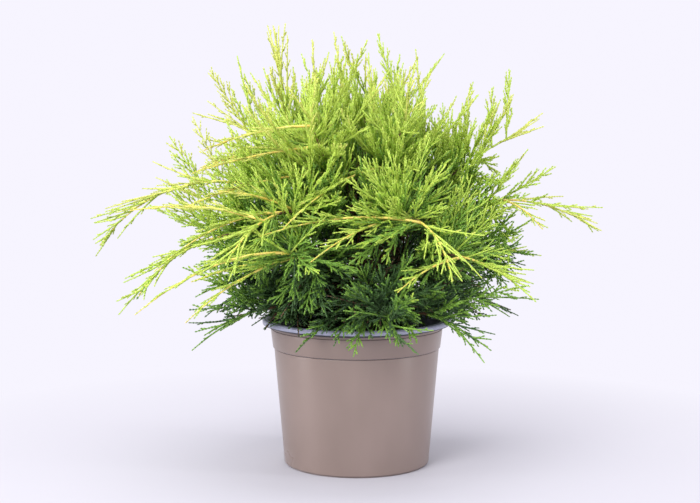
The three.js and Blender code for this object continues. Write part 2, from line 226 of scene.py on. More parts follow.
# Side shoots: the solids' sprays, and fillers that each turn to the emptiest room around
SPRAY_FIRST = 6  # how far from a limb's bare bough the first one may stand
SPRAY_END = 0.97  # of the limb's length
SPRAY_WIDENING = 6  # by how many degrees they spread more at the limb's tip
SPRAY_ROOM = (0.86, 1.12)  # how much of its room one grows into
SPRAY_LENGTHS = (0.75, 1)  # as a share of the longest
SHOOT_LONGEST = 86
SHOOT_SHORTEST = 17
SHOOT_RADIUS = 0.95
SHOOT_BEND = (-0.06, 0.16)
SHOOT_TONES = (-0.12, 0.12)
FILLER_COUNT = 880
FILLER_TRIES = 26
FILLER_SEATS = 44  # on each limb
FILLER_FIRST = 0.8  # where the first of them is, as a share of the limb's bare length
SKIRT_FILLER_FIRST = 0.45
FILLER_LAST = 0.98  # where the last is, as a share of the whole limb
FILLER_SPREAD = (24, 80)
FILLER_MARKS = (0.6, 1.0)  # where along a shoot its distance to others is measured
FILLER_ROOM = (0.6, 1.0)  # how much of its room a filler grows into
FILLER_LENGTHS = (0.7, 1)  # as a share of the longest
FILLER_OUTLINE = 0.76  # the crown level that fillers keep within
GAP_COUNT = 240  # of the emptiest places near the crown's surface, which a shoot fills if one can
GAP_PLACES = 16000  # tried in the box round the crown
GAP_LEVELS = (0.42, 0.76)  # of the crown, between which they lie
GAP_LEAN = 0.1  # the least cosine of the angle between such a shoot and its limb
GAP_LENGTH = 56  # that such a shoot has rather than another
GAP_OVERSHOOT = 1.1  # how far it grows, as a share of the way to that place
GAP_MARKS = (0.4, 0.7, 1.0)
SPIKE_SHARE = 0.17  # of the shoots, that run on past the crown's outline
SPIKE_FAVOUR = 1.5  # how much larger that share is at the far left and the top
SPIKE_OVERREACH = (16, 60)

# Side shoots where a limb runs on out of the dense foliage as a whip
WHIP_OUTLINE = 0.74  # the crown level where a limb's whip begins
WHIP_STEP = 6.8
WHIP_END = 0.985  # of the limb's length
WHIP_LENGTH = (30, 76)
WHIP_TAPER = 3.2  # how fast they shorten towards the limb's tip
WHIP_LIFT = (-0.6, 0.9)  # in radians
WHIP_SPREAD = (13, 30)
WHIP_BRANCHING = 0.3  # how much of its habit's reach a whip's side shoot branches to
WHIP_RIPENESS = 0.24

# Low shoots that lean out over the pot's rim
RIM_TIERS = ("skirt", "low")
RIM_SHOOTS = 15  # on each of their limbs
RIM_SEATS = (0.1, 0.42)
RIM_HEADING = 60  # how far they turn from their limb's heading, to both sides
RIM_SLOPE = (-12, 22)
RIM_SAG = (0.2, 0.42)
RIM_LENGTH = (46, 84)
RIM_TONES = (-0.06, 0.14)

# Long golden shoots that arch out over the crown's surface
TRAILING_SHOOTS = {"low": 6, "middle": 15, "upper": 11}  # in each tier
TRAILING_SEATS = (0.5, 0.84)
TRAILING_SWEEP = 0.95  # how strongly they all turn to the left of the front view
TRAILING_HEADING = 30
TRAILING_SLOPE = (-4, 30)
TRAILING_SAG = (0.1, 0.34)
TRAILING_LENGTH = (95, 175)
TRAILING_OUTLINE = 1.25  # the crown level that they keep within
TRAILING_SHORTEST = 72
TRAILING_RIPENESS = 0.24
TRAILING_RADIUS = 1.3
TRAILING_TIP_SHARE = 0.28  # of that radius, left at the tip
# The ones that show most in the front view, each on a limb at a share of its length
FRONT_STREAKS = [
    {"limb": "middle_5", "seat": 0.62, "heading": 190, "slope": 2, "sag": 0.48, "length": 108},
    {"limb": "middle_5", "seat": 0.75, "heading": 178, "slope": 20, "sag": 0.30, "length": 106},
    {"limb": "low_5", "seat": 0.90, "heading": 192, "slope": 6, "sag": 0.50, "length": 122},
    {"limb": "low_5", "seat": 0.72, "heading": 206, "slope": -6, "sag": 0.35, "length": 112},
    {"limb": "upper_5", "seat": 0.90, "heading": 190, "slope": 0, "sag": 0.22, "length": 92},
    {"limb": "middle_6", "seat": 0.66, "heading": 186, "slope": 12, "sag": 0.30, "length": 128},
]

# How each tier's side shoots branch. Upturn bends a shoot up along its length, or down where it is
# negative, climb does that to its branchlets, and seek draws the fillers up. Branchlets and twiglets
# stand a pitch apart. Reach is a branchlet's greatest length, open its angle to the shoot, leaf a
# leaf's length, and splay its angle to the twig.
HABITS = {
    "skirt": {"upturn": -0.08, "climb": -0.04, "seek": -8, "pitch": 5.9, "reach": 31,
              "open": (25, 40), "leaf": 3.4, "splay": 15},
    "low": {"upturn": 0.08, "climb": 0.06, "seek": 1, "pitch": 5.9, "reach": 31,
            "open": (24, 38), "leaf": 3.3, "splay": 12},
    "middle": {"upturn": 0.26, "climb": 0.18, "seek": 7, "pitch": 5.8, "reach": 30,
               "open": (20, 33), "leaf": 3.2, "splay": 10},
    "upper": {"upturn": 0.38, "climb": 0.3, "seek": 10, "pitch": 5.8, "reach": 29,
              "open": (17, 28), "leaf": 3.1, "splay": 8},
    "leader": {"upturn": 0.3, "climb": 0.3, "seek": 8, "pitch": 5.8, "reach": 27,
               "open": (17, 28), "leaf": 3.1, "splay": 8},
    "trailing": {"upturn": 0, "climb": 0, "pitch": 8.6, "reach": 40, "open": (17, 30), "leaf": 3.0,
                 "splay": 7},
}

# Branchlets and twiglets
BRANCHLET_RADIUS = 0.74
BRANCHLET_FIRST = 4.0  # how far from its shoot's foot the first one stands
BRANCHLET_ROLL = 32  # how far they turn out of their spray's plane
LONG_BRANCHLET = 12  # from which length a branchlet has twiglets
TWIGLET_RADIUS = 0.64
TWIGLET_FIRST = 5.0
TWIGLET_ROLL = 30
TWIGLET_LENGTHS = (3.5, 14)
TWIG_STRAY = 0.25  # from its place, as a share of the pitch
TWIG_LENGTHS = (0.72, 1.15)
TWIG_SWEEP = 0.22  # how much it bends forward
TWIG_LOOSENESS = 0.3  # how much it bends out of its spray's plane
TIP_SHARE = 0.45  # of a twig's radius that is left at its tip
# The radius, rings and sides of their tubes
SHOOT_TUBE = (SHOOT_RADIUS, 6, 4)
TRAILING_TUBE = (TRAILING_RADIUS, 14, 5, TRAILING_TIP_SHARE)
BRANCHLET_TUBE = (BRANCHLET_RADIUS, 3, 3)
BARE_TUBE = (TWIGLET_RADIUS, 3, 3)
TWIGLET_TUBE = (TWIGLET_RADIUS, 2, 3)

# Where twigs are free to grow: off the pot and the compost, and little past the box of the solids
CORD_MARKS = (0.2, 0.4, 0.6, 0.8, 1.0)  # where along a twig it is tried
CORD_LEAST = 0.3  # the share of its length that a twig must keep
MOUTH_RADIUS = NECK_RADIUS - 3
RIM_CLEAR = 2
SOIL_CLEAR = 2.5
LOWEST_TWIG = POT_HEIGHT - 30
BOX_MARGIN = 9

# Leaves: a kite folded along its middle
LEAF_PITCH = 2.8
LEAF_SEAT = 0.78  # how far out on its twig a leaf starts, as a share of the twig's radius
LEAF_WIDTH = 0.58  # as a share of the leaf's length
LEAF_WIDEST = 0.42  # where along the leaf
LEAF_FOLD = 0.08  # how far its sides fold back, as a share of its length
LEAF_TURN = 0.3  # how far it strays round its twig, in radians
LEAF_LENGTHS = (0.85, 1.15)
LEAF_LENGTH_FALL = 0.25  # how much of it is lost towards the twig's tip
LEAF_SPLAYS = (0.6, 1.4)
LEAF_SPLAY_FALL = 0.45
SHOOT_LEAVES_FROM = 0.15  # of a side shoot's length
TRAILING_LEAVES_FROM = 0.5

# Deep in the crown, by the distance from its middle to its outline as 1
DYING_DEPTH = 0.44  # within which branchlets die
DYING_SHARE = 0.5
DEAD_LEAF_SHARE = 0.35  # of those, that still hold brown leaves
TWIGLET_DEPTH = 0.5  # within which no twiglets are left
GOLDEN_DEPTH = 0.8  # where a leading shoot turns from brown bark to gold
GOLDEN_LATEST = 0.8  # the share of its limb where it turns if it never comes that far out
TINT_OVERLAP = 0.01  # how far its two tints run into each other
BROWN_SHOOT_TONE = 0.2  # up to which side shoots are brown

# Leaf tints from the deepest shade to the ripest tip, the darker ones partly painted shade: name,
# slot, colour, and the tone where it ends
TINTS = [
    ("shade_green", "foliage_shaded", (0.050, 0.104, 0.044), 0.21),
    ("deep_green", "foliage_shaded", (0.090, 0.190, 0.056), 0.32),
    ("mid_green", "foliage_green", (0.168, 0.335, 0.062), 0.43),
    ("fresh_green", "foliage_green", (0.278, 0.485, 0.070), 0.56),
    ("yellow_green", "foliage_golden", (0.470, 0.660, 0.096), 0.74),
    ("lime", "foliage_golden", (0.556, 0.680, 0.118), 0.99),
    ("gold", "foliage_golden", (0.640, 0.690, 0.165), math.inf),
]
DEAD_TINT = ("dead_brown", "bark", (0.130, 0.058, 0.028))
# Twig tints in the same order: name, slot, dark and light colour, and the tone where it ends
TWIG_TINTS = [
    ("shaded", "foliage_shaded", (0.056, 0.114, 0.042), (0.100, 0.190, 0.056), 0.32),
    ("green", "foliage_green", (0.165, 0.320, 0.054), (0.275, 0.460, 0.070), 0.56),
    ("lime", "foliage_golden", (0.412, 0.582, 0.084), (0.574, 0.694, 0.122), 0.99),
    ("golden", "foliage_golden", (0.555, 0.605, 0.125), (0.690, 0.712, 0.185), math.inf),
]
# Bare twigs in the shade and long golden shoots: dark and light colour
BROWN_TWIG = ((0.060, 0.028, 0.016), (0.200, 0.105, 0.050))
GOLDEN_TWIG = ((0.740, 0.520, 0.090), (0.820, 0.700, 0.180))
# The twig tint that the outer part of each tier's leading shoots has, or that of the golden shoots
OUTER_TINTS = {"skirt": "green", "low": "gold", "middle": "gold", "upper": "lime", "leader": "lime"}
LEAF_GLOW = 0.34  # the share of light that leaves let through

# Stage
BACKDROP = (0.93, 0.91, 1.0, 1)
FLOOR_COLOUR = (0.46, 0.45, 0.495, 1)
FLOOR_RADIUS = 3.0
FLOOR_FADE = (0.12, 0.5)  # the distances from the pot's middle between which it fades
LIGHT_AIM = (0, 0, 0.18)
# Name, place, width and height in metres, and watts
SOFTBOXES = [
    ("key", (-0.8, -1.4, 1.15), (0.9, 0.9), 33),
    ("top", (0, -0.2, 1.7), (1.2, 1.0), 8),
    ("left_strip", (-1.3, -0.3, 0.4), (0.3, 1.0), 6),
    ("right_strip", (1.3, -0.4, 0.4), (0.14, 1.0), 7),
    ("back", (0.4, 1.4, 1.2), (1.0, 0.8), 5),
]
CAMERA_PLACE = (-0.006, -1.392, 0.335)
CAMERA_AIM = (-0.006, 0, 0.192)
CAMERA_LENS = 80

# What each twig holds. It runs from its root along its way and bends by the square of the distance.
CORD = np.dtype([
    ("root", float, 3), ("way", float, 3), ("bend", float, 3), ("face", float, 3),
    ("length", float), ("pitch", float), ("reach", float), ("open", float, 2), ("leaf", float),
    ("splay", float), ("climb", float), ("tone", float),
])


def between(low, high, share):
    return low + (high - low) * share


def unit(vectors):
    return vectors / np.linalg.norm(vectors, axis=-1, keepdims=True)


def square_to(ways, vectors):
    """The part of vectors that stands square to the unit vectors of ways."""
    return vectors - ways * np.sum(vectors * ways, axis=-1, keepdims=True)


def tilted(first, second, angle):
    """Ways turned from the first ones towards the second ones, which stand square to them."""
    return first * np.cos(angle) + second * np.sin(angle)


def sloped_way(heading, slope):
    """The way that a heading and a slope in degrees give."""
    around, rise = math.radians(heading), math.radians(slope)
    level = math.cos(rise)
    return np.array([level * math.cos(around), level * math.sin(around), math.sin(rise)])


def chance(limb, shoot, purpose):
    """A repeatable number from 0 to 1 for a limb, a shoot on it and a purpose."""
    wave = math.sin(limb * 12.9898 + shoot * 78.233 + purpose * 37.719) * 43758.5453
    return wave - math.floor(wave)


# Limbs

def arch_path(start, limb):
    """The points of a limb from its start, its slope turning evenly from rise to fall."""
    path = [np.array(start, float)]
    for i in range(PATH_STEPS):
        share = (i + 0.5) / PATH_STEPS
        heading = limb["azimuth"] + limb["sway"] * math.sin(math.pi * share)
        step = sloped_way(heading, between(limb["rise"], limb["fall"], share))
        path.append(path[i] + step * limb["length"] / PATH_STEPS)
    return np.array(path)


def frame_at(limb, share):
    """The place on a limb at a share of its length, its direction, its side and its upper side."""
    path = limb["path"]
    along = min(max(share, 0), 1) * PATH_STEPS
    i = min(int(along), PATH_STEPS - 1)
    place = between(path[i], path[i + 1], along - i)
    forward = unit(path[min(i + 2, PATH_STEPS)] - path[max(i - 1, 0)])
    heading = math.radians(limb["azimuth"])
    side = unit(square_to(forward, np.array([-math.sin(heading), math.cos(heading), 0])))
    return place, forward, side, np.cross(forward, side)


def make_stem():
    stem = {
        "azimuth": STEM_LEAN["azimuth"],
        "sway": 0,
        "rise": 90 - STEM_LEAN["tilt"],
        "fall": 90 - STEM_LEAN["tilt"] / 2,
        "length": STEM_LENGTH,
    }
    stem["path"] = arch_path((0, 0, SOIL_CENTRE + SEAT_GAP), stem)
    return stem


def make_limbs(stem):
    """Every limb of every tier, and the leading shoot that runs on from the stem."""
    limbs = []
    for tier in TIERS:
        for i in range(tier["count"]):
            number = len(limbs)
            name = f"{tier['name']}_{i + 1}"
            stray = {
                value: between(-most, most, chance(number, 0, purpose))
                for purpose, (value, most) in enumerate(LIMB_STRAY.items(), start=1)
            }
            limb = {
                **tier,
                "name": name,
                "habit": tier["name"],
                "number": number,
                "azimuth": tier["turn"] + 360 * i / tier["count"] + stray["azimuth"],
                "sway": stray["sway"],
                "rise": tier["rise"] + stray["rise"],
                "fall": tier["fall"] + stray["fall"],
                "length": tier["length"] * between(*LIMB_LENGTHS, chance(number, 0, 5)),
                **LONG_LIMBS.get(name, {}),
            }
            share = (i % 2) / 2 + i / tier["count"] / 2
            height = between(tier["from"], tier["to"], share) / STEM_LENGTH
            limb["path"] = arch_path(frame_at(stem, height)[0], limb)
            limbs.append(limb)
    crown = {
        **CROWN_LEADER,
        "habit": "leader",
        "number": len(limbs),
        "azimuth": stem["azimuth"],
        "sway": 0,
        "rise": stem["fall"],
        "fall": 90,
        "bare": SEAT_GAP / CROWN_LEADER["length"],
    }
    crown["path"] = arch_path(frame_at(stem, 1)[0], crown)
    limbs.append(crown)
    return limbs


def crown_level(places):
    """Under 1 inside the crown's outline."""
    x, y, z = np.moveaxis(places, -1, 0)
    around = np.arctan2(y, x)
    swell = sum((most * np.sin(times * around + turn) for most, times, turn in CROWN_SWELLS), 1)
    out = np.hypot(x, y) / (CROWN_RADIUS * swell)
    above = (z - CROWN_MIDDLE) / CROWN_RISE
    below = (CROWN_MIDDLE - z) / CROWN_DROP
    return out ** 2 + np.where(above > 0, above ** 2, below ** 4)


def crown_depth(places):
    """About 0 in the crown's middle and 1 at its outline."""
    return np.sqrt(crown_level(places))


def room_along(place, direction):
    """How far a shoot can run from a place before it leaves the crown's outline."""
    runs = np.arange(0, SHOOT_LONGEST + 2, 2.0)
    outside = crown_level(place + runs[:, None] * direction) >= 1
    return runs[outside.argmax()] if outside.any() else SHOOT_LONGEST


def free_to_grow(places):
    """Whether places are clear of the pot and the compost, and within the plant's whole reach."""
    x, y, z = np.moveaxis(places, -1, 0)
    out = np.hypot(x, y)
    on_rim = (z < POT_HEIGHT + RIM_CLEAR) & (out > MOUTH_RADIUS) & (out < RIM_RADIUS + RIM_CLEAR)
    in_pot = (z < SOIL_CENTRE + SOIL_CLEAR) & (out <= MOUTH_RADIUS)
    low = places > np.array(CAD_LOW) / MM - BOX_MARGIN
    high = places < np.array(CAD_HIGH) / MM + BOX_MARGIN
    return ~(on_rim | in_pot | (z < LOWEST_TWIG)) & (low & high).all(axis=-1)


def ripeness_and_shade(places):
    """From 0 in the shade of the crown's foot to about 1 at its sunlit tips: real golden growth
    outside, and painted shade in the darker tints deep in the crown and low down.
    """
    outer = np.clip((crown_depth(places) - RIPE_AND_SHADE_DEPTH) / (1 - RIPE_AND_SHADE_DEPTH), 0, 1.1)
    height = np.clip((places[..., 2] - RIPE_AND_SHADE_BOTTOM) / (RIPE_AND_SHADE_TOP - RIPE_AND_SHADE_BOTTOM), 0, 1)
    return outer * between(*RIPE_AND_SHADE_OUTWARD, height) + RIPE_AND_SHADE_UPWARD * height


# Cords: a side shoot, branchlet or twiglet is a slim bent line of its own

def cord_places(cords, share):
    """The places on cords at a share of their length, the same for all or one for each."""
    share = np.asarray(share)[..., None]
    run = cords["way"] * share + cords["bend"] * share ** 2
    return cords["root"] + cords["length"][..., None] * run


def cord_ways(cords, share):
    """The directions of cords at a share of their length."""
    return unit(cords["way"] + 2 * cords["bend"] * np.asarray(share)[..., None])


def uprightness(place):
    """How far shoots and branchlets turn upward: fully in the crown's middle, little at its sides."""
    out = np.hypot(place[..., 0], place[..., 1])
    return np.clip(UPRIGHT_MIDDLE - out / (UPRIGHT_REACH * CROWN_RADIUS), UPRIGHT_LEAST, 1)


def cord_row(habit, place, way, bend, face, length, tone, climb=0, reach=1, leaf=1):
    """A cord as a row of their array. It branches by its habit, with a share of its reach and leaf."""
    return (place, way, bend, face, length, habit["pitch"], habit["reach"] * reach, habit["open"],
            habit["leaf"] * leaf, habit["splay"], climb, tone)


def shoot_row(limb, place, forward, way, length, draws, whip=False):
    """A side shoot as a cord, bent, turned and toned by three draws from 0 to 1."""
    habit = HABITS["trailing" if whip else limb["habit"]]
    across = unit(square_to(way, forward))
    turn = math.radians(90 * draws[1])
    across = across * math.cos(turn) + np.cross(way, across) * math.sin(turn)
    face = np.cross(way, across)
    up = UPWARD - way * way[2]
    turn_up = uprightness(place)
    bend = face * between(*SHOOT_BEND, draws[0]) + up * habit["upturn"] * turn_up
    riper = WHIP_RIPENESS if whip and limb["habit"] != "skirt" else 0
    tone = between(*SHOOT_TONES, draws[2]) + riper
    return cord_row(habit, place, way, bend, face, length, tone, climb=habit["climb"] * turn_up,
                    reach=WHIP_BRANCHING if whip else 1)


def turned_off(forward, side, upper, lift, spread, hand=1):
    """A way that leaves the forward one by the spread angle, lifted from its side."""
    outward = side * hand * math.cos(lift) + upper * math.sin(lift)
    return forward * math.cos(spread) + outward * math.sin(spread)


def outward_taper(share):
    """How a limb's side shoots shorten along it."""
    return 1.15 - 0.5 * share


def spray_shoots(limb):
    """The side shoots inside the crown that the solids' sprays stand for, by the solids' rule."""
    number = limb["number"]
    rows = []
    for k in range(limb["sprays"]):
        first = limb["bare"] + SPRAY_FIRST / limb["length"]
        share = between(first, SPRAY_END, (k + 0.3) / limb["sprays"])
        place, forward, side, upper = frame_at(limb, share)
        if crown_level(place) > 1:
            break
        lift = math.radians(between(*limb["lift"], chance(number, k, 6)))
        spread = between(*limb["spread"], chance(number, k, 7)) + SPRAY_WIDENING * share
        way = turned_off(forward, side, upper, lift, math.radians(spread), 1 if k % 2 else -1)
        room = room_along(place, way) * between(*SPRAY_ROOM, chance(number, k, 8))
        longest = SHOOT_LONGEST * between(*SPRAY_LENGTHS, chance(number, k, 9)) * outward_taper(share)
        length = max(min(room, longest), SHOOT_SHORTEST * (1.35 - 0.4 * share))
        length += overreach(place + way * room, chance(number, k, 14), chance(number, k, 15))
        draws = [chance(number, k, purpose) for purpose in (10, 11, 13)]
        rows.append(shoot_row(limb, place, forward, way, length, draws))
    return rows


def overreach(end, pick, share):
    """How far past the outline a shoot runs: for few shoots, and furthest at the left and the top."""
    heading = (end - np.array([0, 0, CROWN_MIDDLE])) / CROWN_RADIUS
    favour = max(-heading[0], 0) + max(heading[2], 0)
    if pick > SPIKE_SHARE * (1 + SPIKE_FAVOUR * favour):
        return 0
    return between(*SPIKE_OVERREACH, share) * min(1, 0.4 + favour)


def sagging_row(place, way, length, sag, habit, tone):
    """A shoot that sags, its branchlets flat to both sides."""
    up = UPWARD - way * way[2]
    return cord_row(habit, place, way, -sag * up, unit(up), length, tone)


def rim_shoots(limb):
    """Low shoots from near a limb's foot that lean out over the rim and sag there."""
    rows = []
    for _ in range(RIM_SHOOTS):
        draws = rng.random(6)
        place = frame_at(limb, between(*RIM_SEATS, draws[0]))[0]
        heading = limb["azimuth"] + between(-RIM_HEADING, RIM_HEADING, draws[1])
        way = sloped_way(heading, between(*RIM_SLOPE, draws[2]))
        length = between(*RIM_LENGTH, draws[3])
        sag = between(*RIM_SAG, draws[4])
        tone = between(*RIM_TONES, draws[5])
        rows.append(sagging_row(place, way, length, sag, HABITS["skirt"], tone))
    return rows


def trailing_shoots(limbs):
    """Long golden shoots that arch out over the crown's surface, shared out among the limbs."""
    habit = HABITS["trailing"]
    rows = []
    for tier, count in TRAILING_SHOOTS.items():
        carriers = [limb for limb in limbs if limb["habit"] == tier]
        for i in range(count):
            draws = rng.random(5)
            limb = carriers[i % len(carriers)]
            place = frame_at(limb, between(*TRAILING_SEATS, draws[0]))[0]
            around = math.radians(limb["azimuth"])
            swept = math.degrees(math.atan2(math.sin(around), math.cos(around) - TRAILING_SWEEP))
            heading = swept + between(-TRAILING_HEADING, TRAILING_HEADING, draws[1])
            way = sloped_way(heading, between(*TRAILING_SLOPE, draws[2]))
            sag = between(*TRAILING_SAG, draws[3])
            length = between(*TRAILING_LENGTH, draws[4])
            runs = np.arange(0, length, 3.0)[:, None]
            trail = place + runs * way - sag * UPWARD * runs ** 2 / length
            inside = crown_level(trail) < TRAILING_OUTLINE
            length *= np.mean(np.cumprod(inside))
            if length > TRAILING_SHORTEST:
                rows.append(sagging_row(place, way, length, sag, habit, TRAILING_RIPENESS))
    named = {limb["name"]: limb for limb in limbs}
    for streak in FRONT_STREAKS:
        place = frame_at(named[streak["limb"]], streak["seat"])[0]
        way = sloped_way(streak["heading"], streak["slope"])
        length, sag = streak["length"], streak["sag"]
        rows.append(sagging_row(place, way, length, sag, habit, TRAILING_RIPENESS))
    return rows


def whip_shoots(limb):
    """Slender side shoots that lie close along a limb where it runs on outside the crown."""
    rows = []
    steps = int(limb["length"] * (1 - limb["bare"]) / WHIP_STEP)
    for step in range(steps):
        share = between(limb["bare"], WHIP_END, step / steps)
        place, forward, side, upper = frame_at(limb, share)
        if crown_level(place) <= WHIP_OUTLINE:
            continue
        draws = rng.random(6)
        lift = between(*WHIP_LIFT, draws[3])
        spread = math.radians(between(*WHIP_SPREAD, draws[4]))
        way = turned_off(forward, side, upper, lift, spread, 1 if step % 2 else -1)
        length = between(*WHIP_LENGTH, draws[5]) * min(1, WHIP_TAPER * (1 - share) + 0.3)
        rows.append(shoot_row(limb, place, forward, way, length, draws, whip=True))
    return rows


def filler_seats(limbs):
    """Where a filler can stand: each limb, a share of its length, and the limb's frame there."""
    seats = []
    for limb in limbs:
        first = limb["bare"] * (SKIRT_FILLER_FIRST if limb["habit"] == "skirt" else FILLER_FIRST)
        for share in np.linspace(first, FILLER_LAST, FILLER_SEATS):
            frame_here = frame_at(limb, share)
            if crown_level(frame_here[0]) < FILLER_OUTLINE:
                seats.append((limb, share, *frame_here))
    return seats


def filler_shoots(seats, rows):
    """More side shoots inside the crown, each the one of its tries that has most room to itself."""
    places, forwards, sides, uppers = (np.array([seat[i] for seat in seats]) for i in (2, 3, 4, 5))
    longest = np.array([SHOOT_LONGEST * outward_taper(seat[1]) for seat in seats])
    seeks = np.array([HABITS[seat[0]["habit"]]["seek"] for seat in seats]) * uprightness(places)
    samples = np.array([row[0] + row[1] * row[4] * share for row in rows for share in FILLER_MARKS])
    runs = np.arange(0, SHOOT_LONGEST + 12, 3.0)
    added = []
    for _ in range(FILLER_COUNT):
        pick = rng.integers(len(seats), size=FILLER_TRIES)
        lift, spread, grown, long = rng.random((4, FILLER_TRIES, 1))
        lift = 2 * np.pi * lift
        spread = np.radians(between(*FILLER_SPREAD, spread))
        ways = tilted(forwards[pick], tilted(sides[pick], uppers[pick], lift), spread)
        outside = crown_level(places[pick][:, None] + runs[:, None] * ways[:, None]) >= FILLER_OUTLINE
        room = np.where(outside.any(axis=1), runs[outside.argmax(axis=1)], SHOOT_LONGEST)
        lengths = np.minimum(room * between(*FILLER_ROOM, grown[:, 0]),
                             longest[pick] * between(*FILLER_LENGTHS, long[:, 0]))
        marks = ways[:, None] * lengths[:, None, None] * np.array(FILLER_MARKS)[:, None]
        marks += places[pick][:, None]
        gaps = np.linalg.norm(samples[:, None, None] - marks, axis=3).min(axis=0)
        score = gaps.sum(axis=1) + seeks[pick] * ways[:, 2]
        score[~free_to_grow(marks).all(axis=1) | (lengths < SHOOT_SHORTEST)] = -np.inf
        best = score.argmax()
        samples = np.concatenate([samples, marks[best]])
        limb = seats[pick[best]][0]
        length = lengths[best] + overreach(marks[best][1], *rng.random(2))
        added.append(shoot_row(limb, places[pick[best]], forwards[pick[best]], ways[best], length,
                               rng.random(3)))
    return added


def narrowed(gaps, spots, root, run):
    """The gap round each spot once one more shoot runs there from its root."""
    for share in GAP_MARKS:
        gaps = np.minimum(gaps, np.linalg.norm(spots - (root + run * share), axis=1))
    return gaps


def gap_shoots(seats, rows):
    """Side shoots that each grow to the emptiest place that is left near the crown's surface."""
    half = np.array([CROWN_RADIUS, CROWN_RADIUS, CROWN_RISE])
    spots = rng.uniform(-1, 1, (GAP_PLACES, 3)) * half + UPWARD * CROWN_MIDDLE
    level = crown_level(spots)
    spots = spots[(level > GAP_LEVELS[0]) & (level < GAP_LEVELS[1]) & free_to_grow(spots)]
    gaps = np.full(len(spots), np.inf)
    for row in rows:
        gaps = narrowed(gaps, spots, row[0], row[1] * row[4])
    places, forwards = (np.array([seat[i] for seat in seats]) for i in (2, 3))
    added = []
    for _ in range(GAP_COUNT):
        widest = gaps.argmax()
        runs = spots[widest] - places
        lengths = np.linalg.norm(runs, axis=1)
        lean = np.sum(forwards * runs, axis=1) / lengths
        fits = (lean > GAP_LEAN) & (lengths > SHOOT_SHORTEST) & (lengths < SHOOT_LONGEST)
        best = np.where(fits, np.abs(lengths - GAP_LENGTH), np.inf).argmin()
        gaps[widest] = 0
        if not fits[best]:
            continue
        way = runs[best] / lengths[best]
        added.append(shoot_row(seats[best][0], places[best], forwards[best], way,
                               lengths[best] * GAP_OVERSHOOT, rng.random(3)))
        gaps = narrowed(gaps, spots, places[best], runs[best] * GAP_OVERSHOOT)
    return added


def make_shoots(limbs):
    """All side shoots as cords, and the long golden ones apart from them."""
    rows = [row for limb in limbs for row in spray_shoots(limb)]
    rows += [row for limb in limbs if limb["habit"] in RIM_TIERS for row in rim_shoots(limb)]
    seats = filler_seats(limbs)
    rows += filler_shoots(seats, rows)
    rows += gap_shoots(seats, rows)
    rows += [row for limb in limbs for row in whip_shoots(limb)]
    trailing = trailing_shoots(limbs)
    return clipped(np.array(rows, CORD)), clipped(np.array(trailing, CORD))


def dealt(counts):
    """The owner of each item and its place in the owner's row, for so many items to each owner."""
    owner = np.repeat(np.arange(len(counts)), counts)
    return owner, np.arange(len(owner)) - np.repeat(np.cumsum(counts) - counts, counts)


def grown_on(parents, first, lengths_at, roll):
    """Alternate side cords on every parent cord, a pitch apart from a first distance."""
    counts = np.clip((parents["length"] - first) / parents["pitch"], 0, None).astype(int)
    owner, order = dealt(counts)
    holder = parents[owner]
    draws = rng.random((len(owner), 6))
    run = first + holder["pitch"] * (order + between(-TWIG_STRAY, TWIG_STRAY, draws[:, 0]))
    share = run / holder["length"]
    forward = cord_ways(holder, share)
    face = unit(square_to(forward, holder["face"]))
    side = np.cross(face, forward) * np.where(order % 2, 1, -1)[:, None]
    tilt = np.radians(between(-roll, roll, draws[:, 1])) + (order // 2 % 2) * np.radians(roll) / 2
    spread = np.radians(between(holder["open"][:, 0], holder["open"][:, 1], draws[:, 2]))
    way = tilted(forward, tilted(side, face, tilt[:, None]), spread[:, None])
    way = unit(way + holder["climb"][:, None] * UPWARD)
    cords = np.zeros(len(owner), CORD)
    cords["root"] = cord_places(holder, share)
    cords["way"] = way
    cords["length"] = lengths_at(holder, share) * between(*TWIG_LENGTHS, draws[:, 3])
    cords["bend"] = TWIG_SWEEP * square_to(way, forward)
    cords["bend"] += TWIG_LOOSENESS * (draws[:, 4:5] - 0.5) * face
    cords["bend"] += 0.5 * holder["climb"][:, None] * (UPWARD - way * way[:, 2:3])
    cords["face"] = unit(square_to(way, face))
    for field in ("pitch", "reach", "open", "leaf", "splay", "climb"):
        cords[field] = holder[field]
    cords["tone"] = holder["tone"] + TIP_RIPENING_AND_SHADE * (share - 0.5)
    return cords


def branchlet_lengths(holder, share):
    """Half as long at the shoot's foot as a little further out, and shorter again towards its tip."""
    taper = np.minimum(1, 0.5 + 1.8 * share) * (1 - 0.85 * share ** 1.4)
    return np.minimum(holder["reach"], 0.5 * holder["length"]) * taper


def twiglet_lengths(holder, share):
    return np.clip(0.5 * holder["length"] * (1.1 - 0.7 * share), *TWIGLET_LENGTHS)


def clipped(cords):
    """Cords cut back to where they leave free air, and dropped where they have none."""
    kept = np.zeros(len(cords))
    free = np.ones(len(cords), bool)
    for share in CORD_MARKS:
        free &= free_to_grow(cord_places(cords, share))
        kept[free] = share
    cords = cords[kept > CORD_LEAST].copy()
    kept = kept[kept > CORD_LEAST]
    cords["length"] *= kept
    cords["bend"] *= kept[:, None]
    return cords


def toned(cords, tip_gain):
    """Cords with the tone of the place that they reach, about their own shoot's."""
    stray = between(-TONE_STRAY, TONE_STRAY, rng.random(len(cords)))
    # Partly painted shade: the tone is lower deep in the crown and low down
    cords["tone"] += ripeness_and_shade(cord_places(cords, TONE_MARK)) + tip_gain + stray
    return cords


def of_tone(cords, low, high):
    return cords[(cords["tone"] >= low) & (cords["tone"] < high)]


def with_lows(tints):
    """Tints, each after the tone where it begins, which is where the one before it ends."""
    return [(low, *tint) for low, tint in zip([-math.inf] + [tint[-1] for tint in tints], tints)]


# Meshes from arrays

def in_scene(name, data):
    """A new object of the scene for a mesh, a light or a camera."""
    thing = bpy.data.objects.new(name, data)
    bpy.context.scene.collection.objects.link(thing)
    return thing


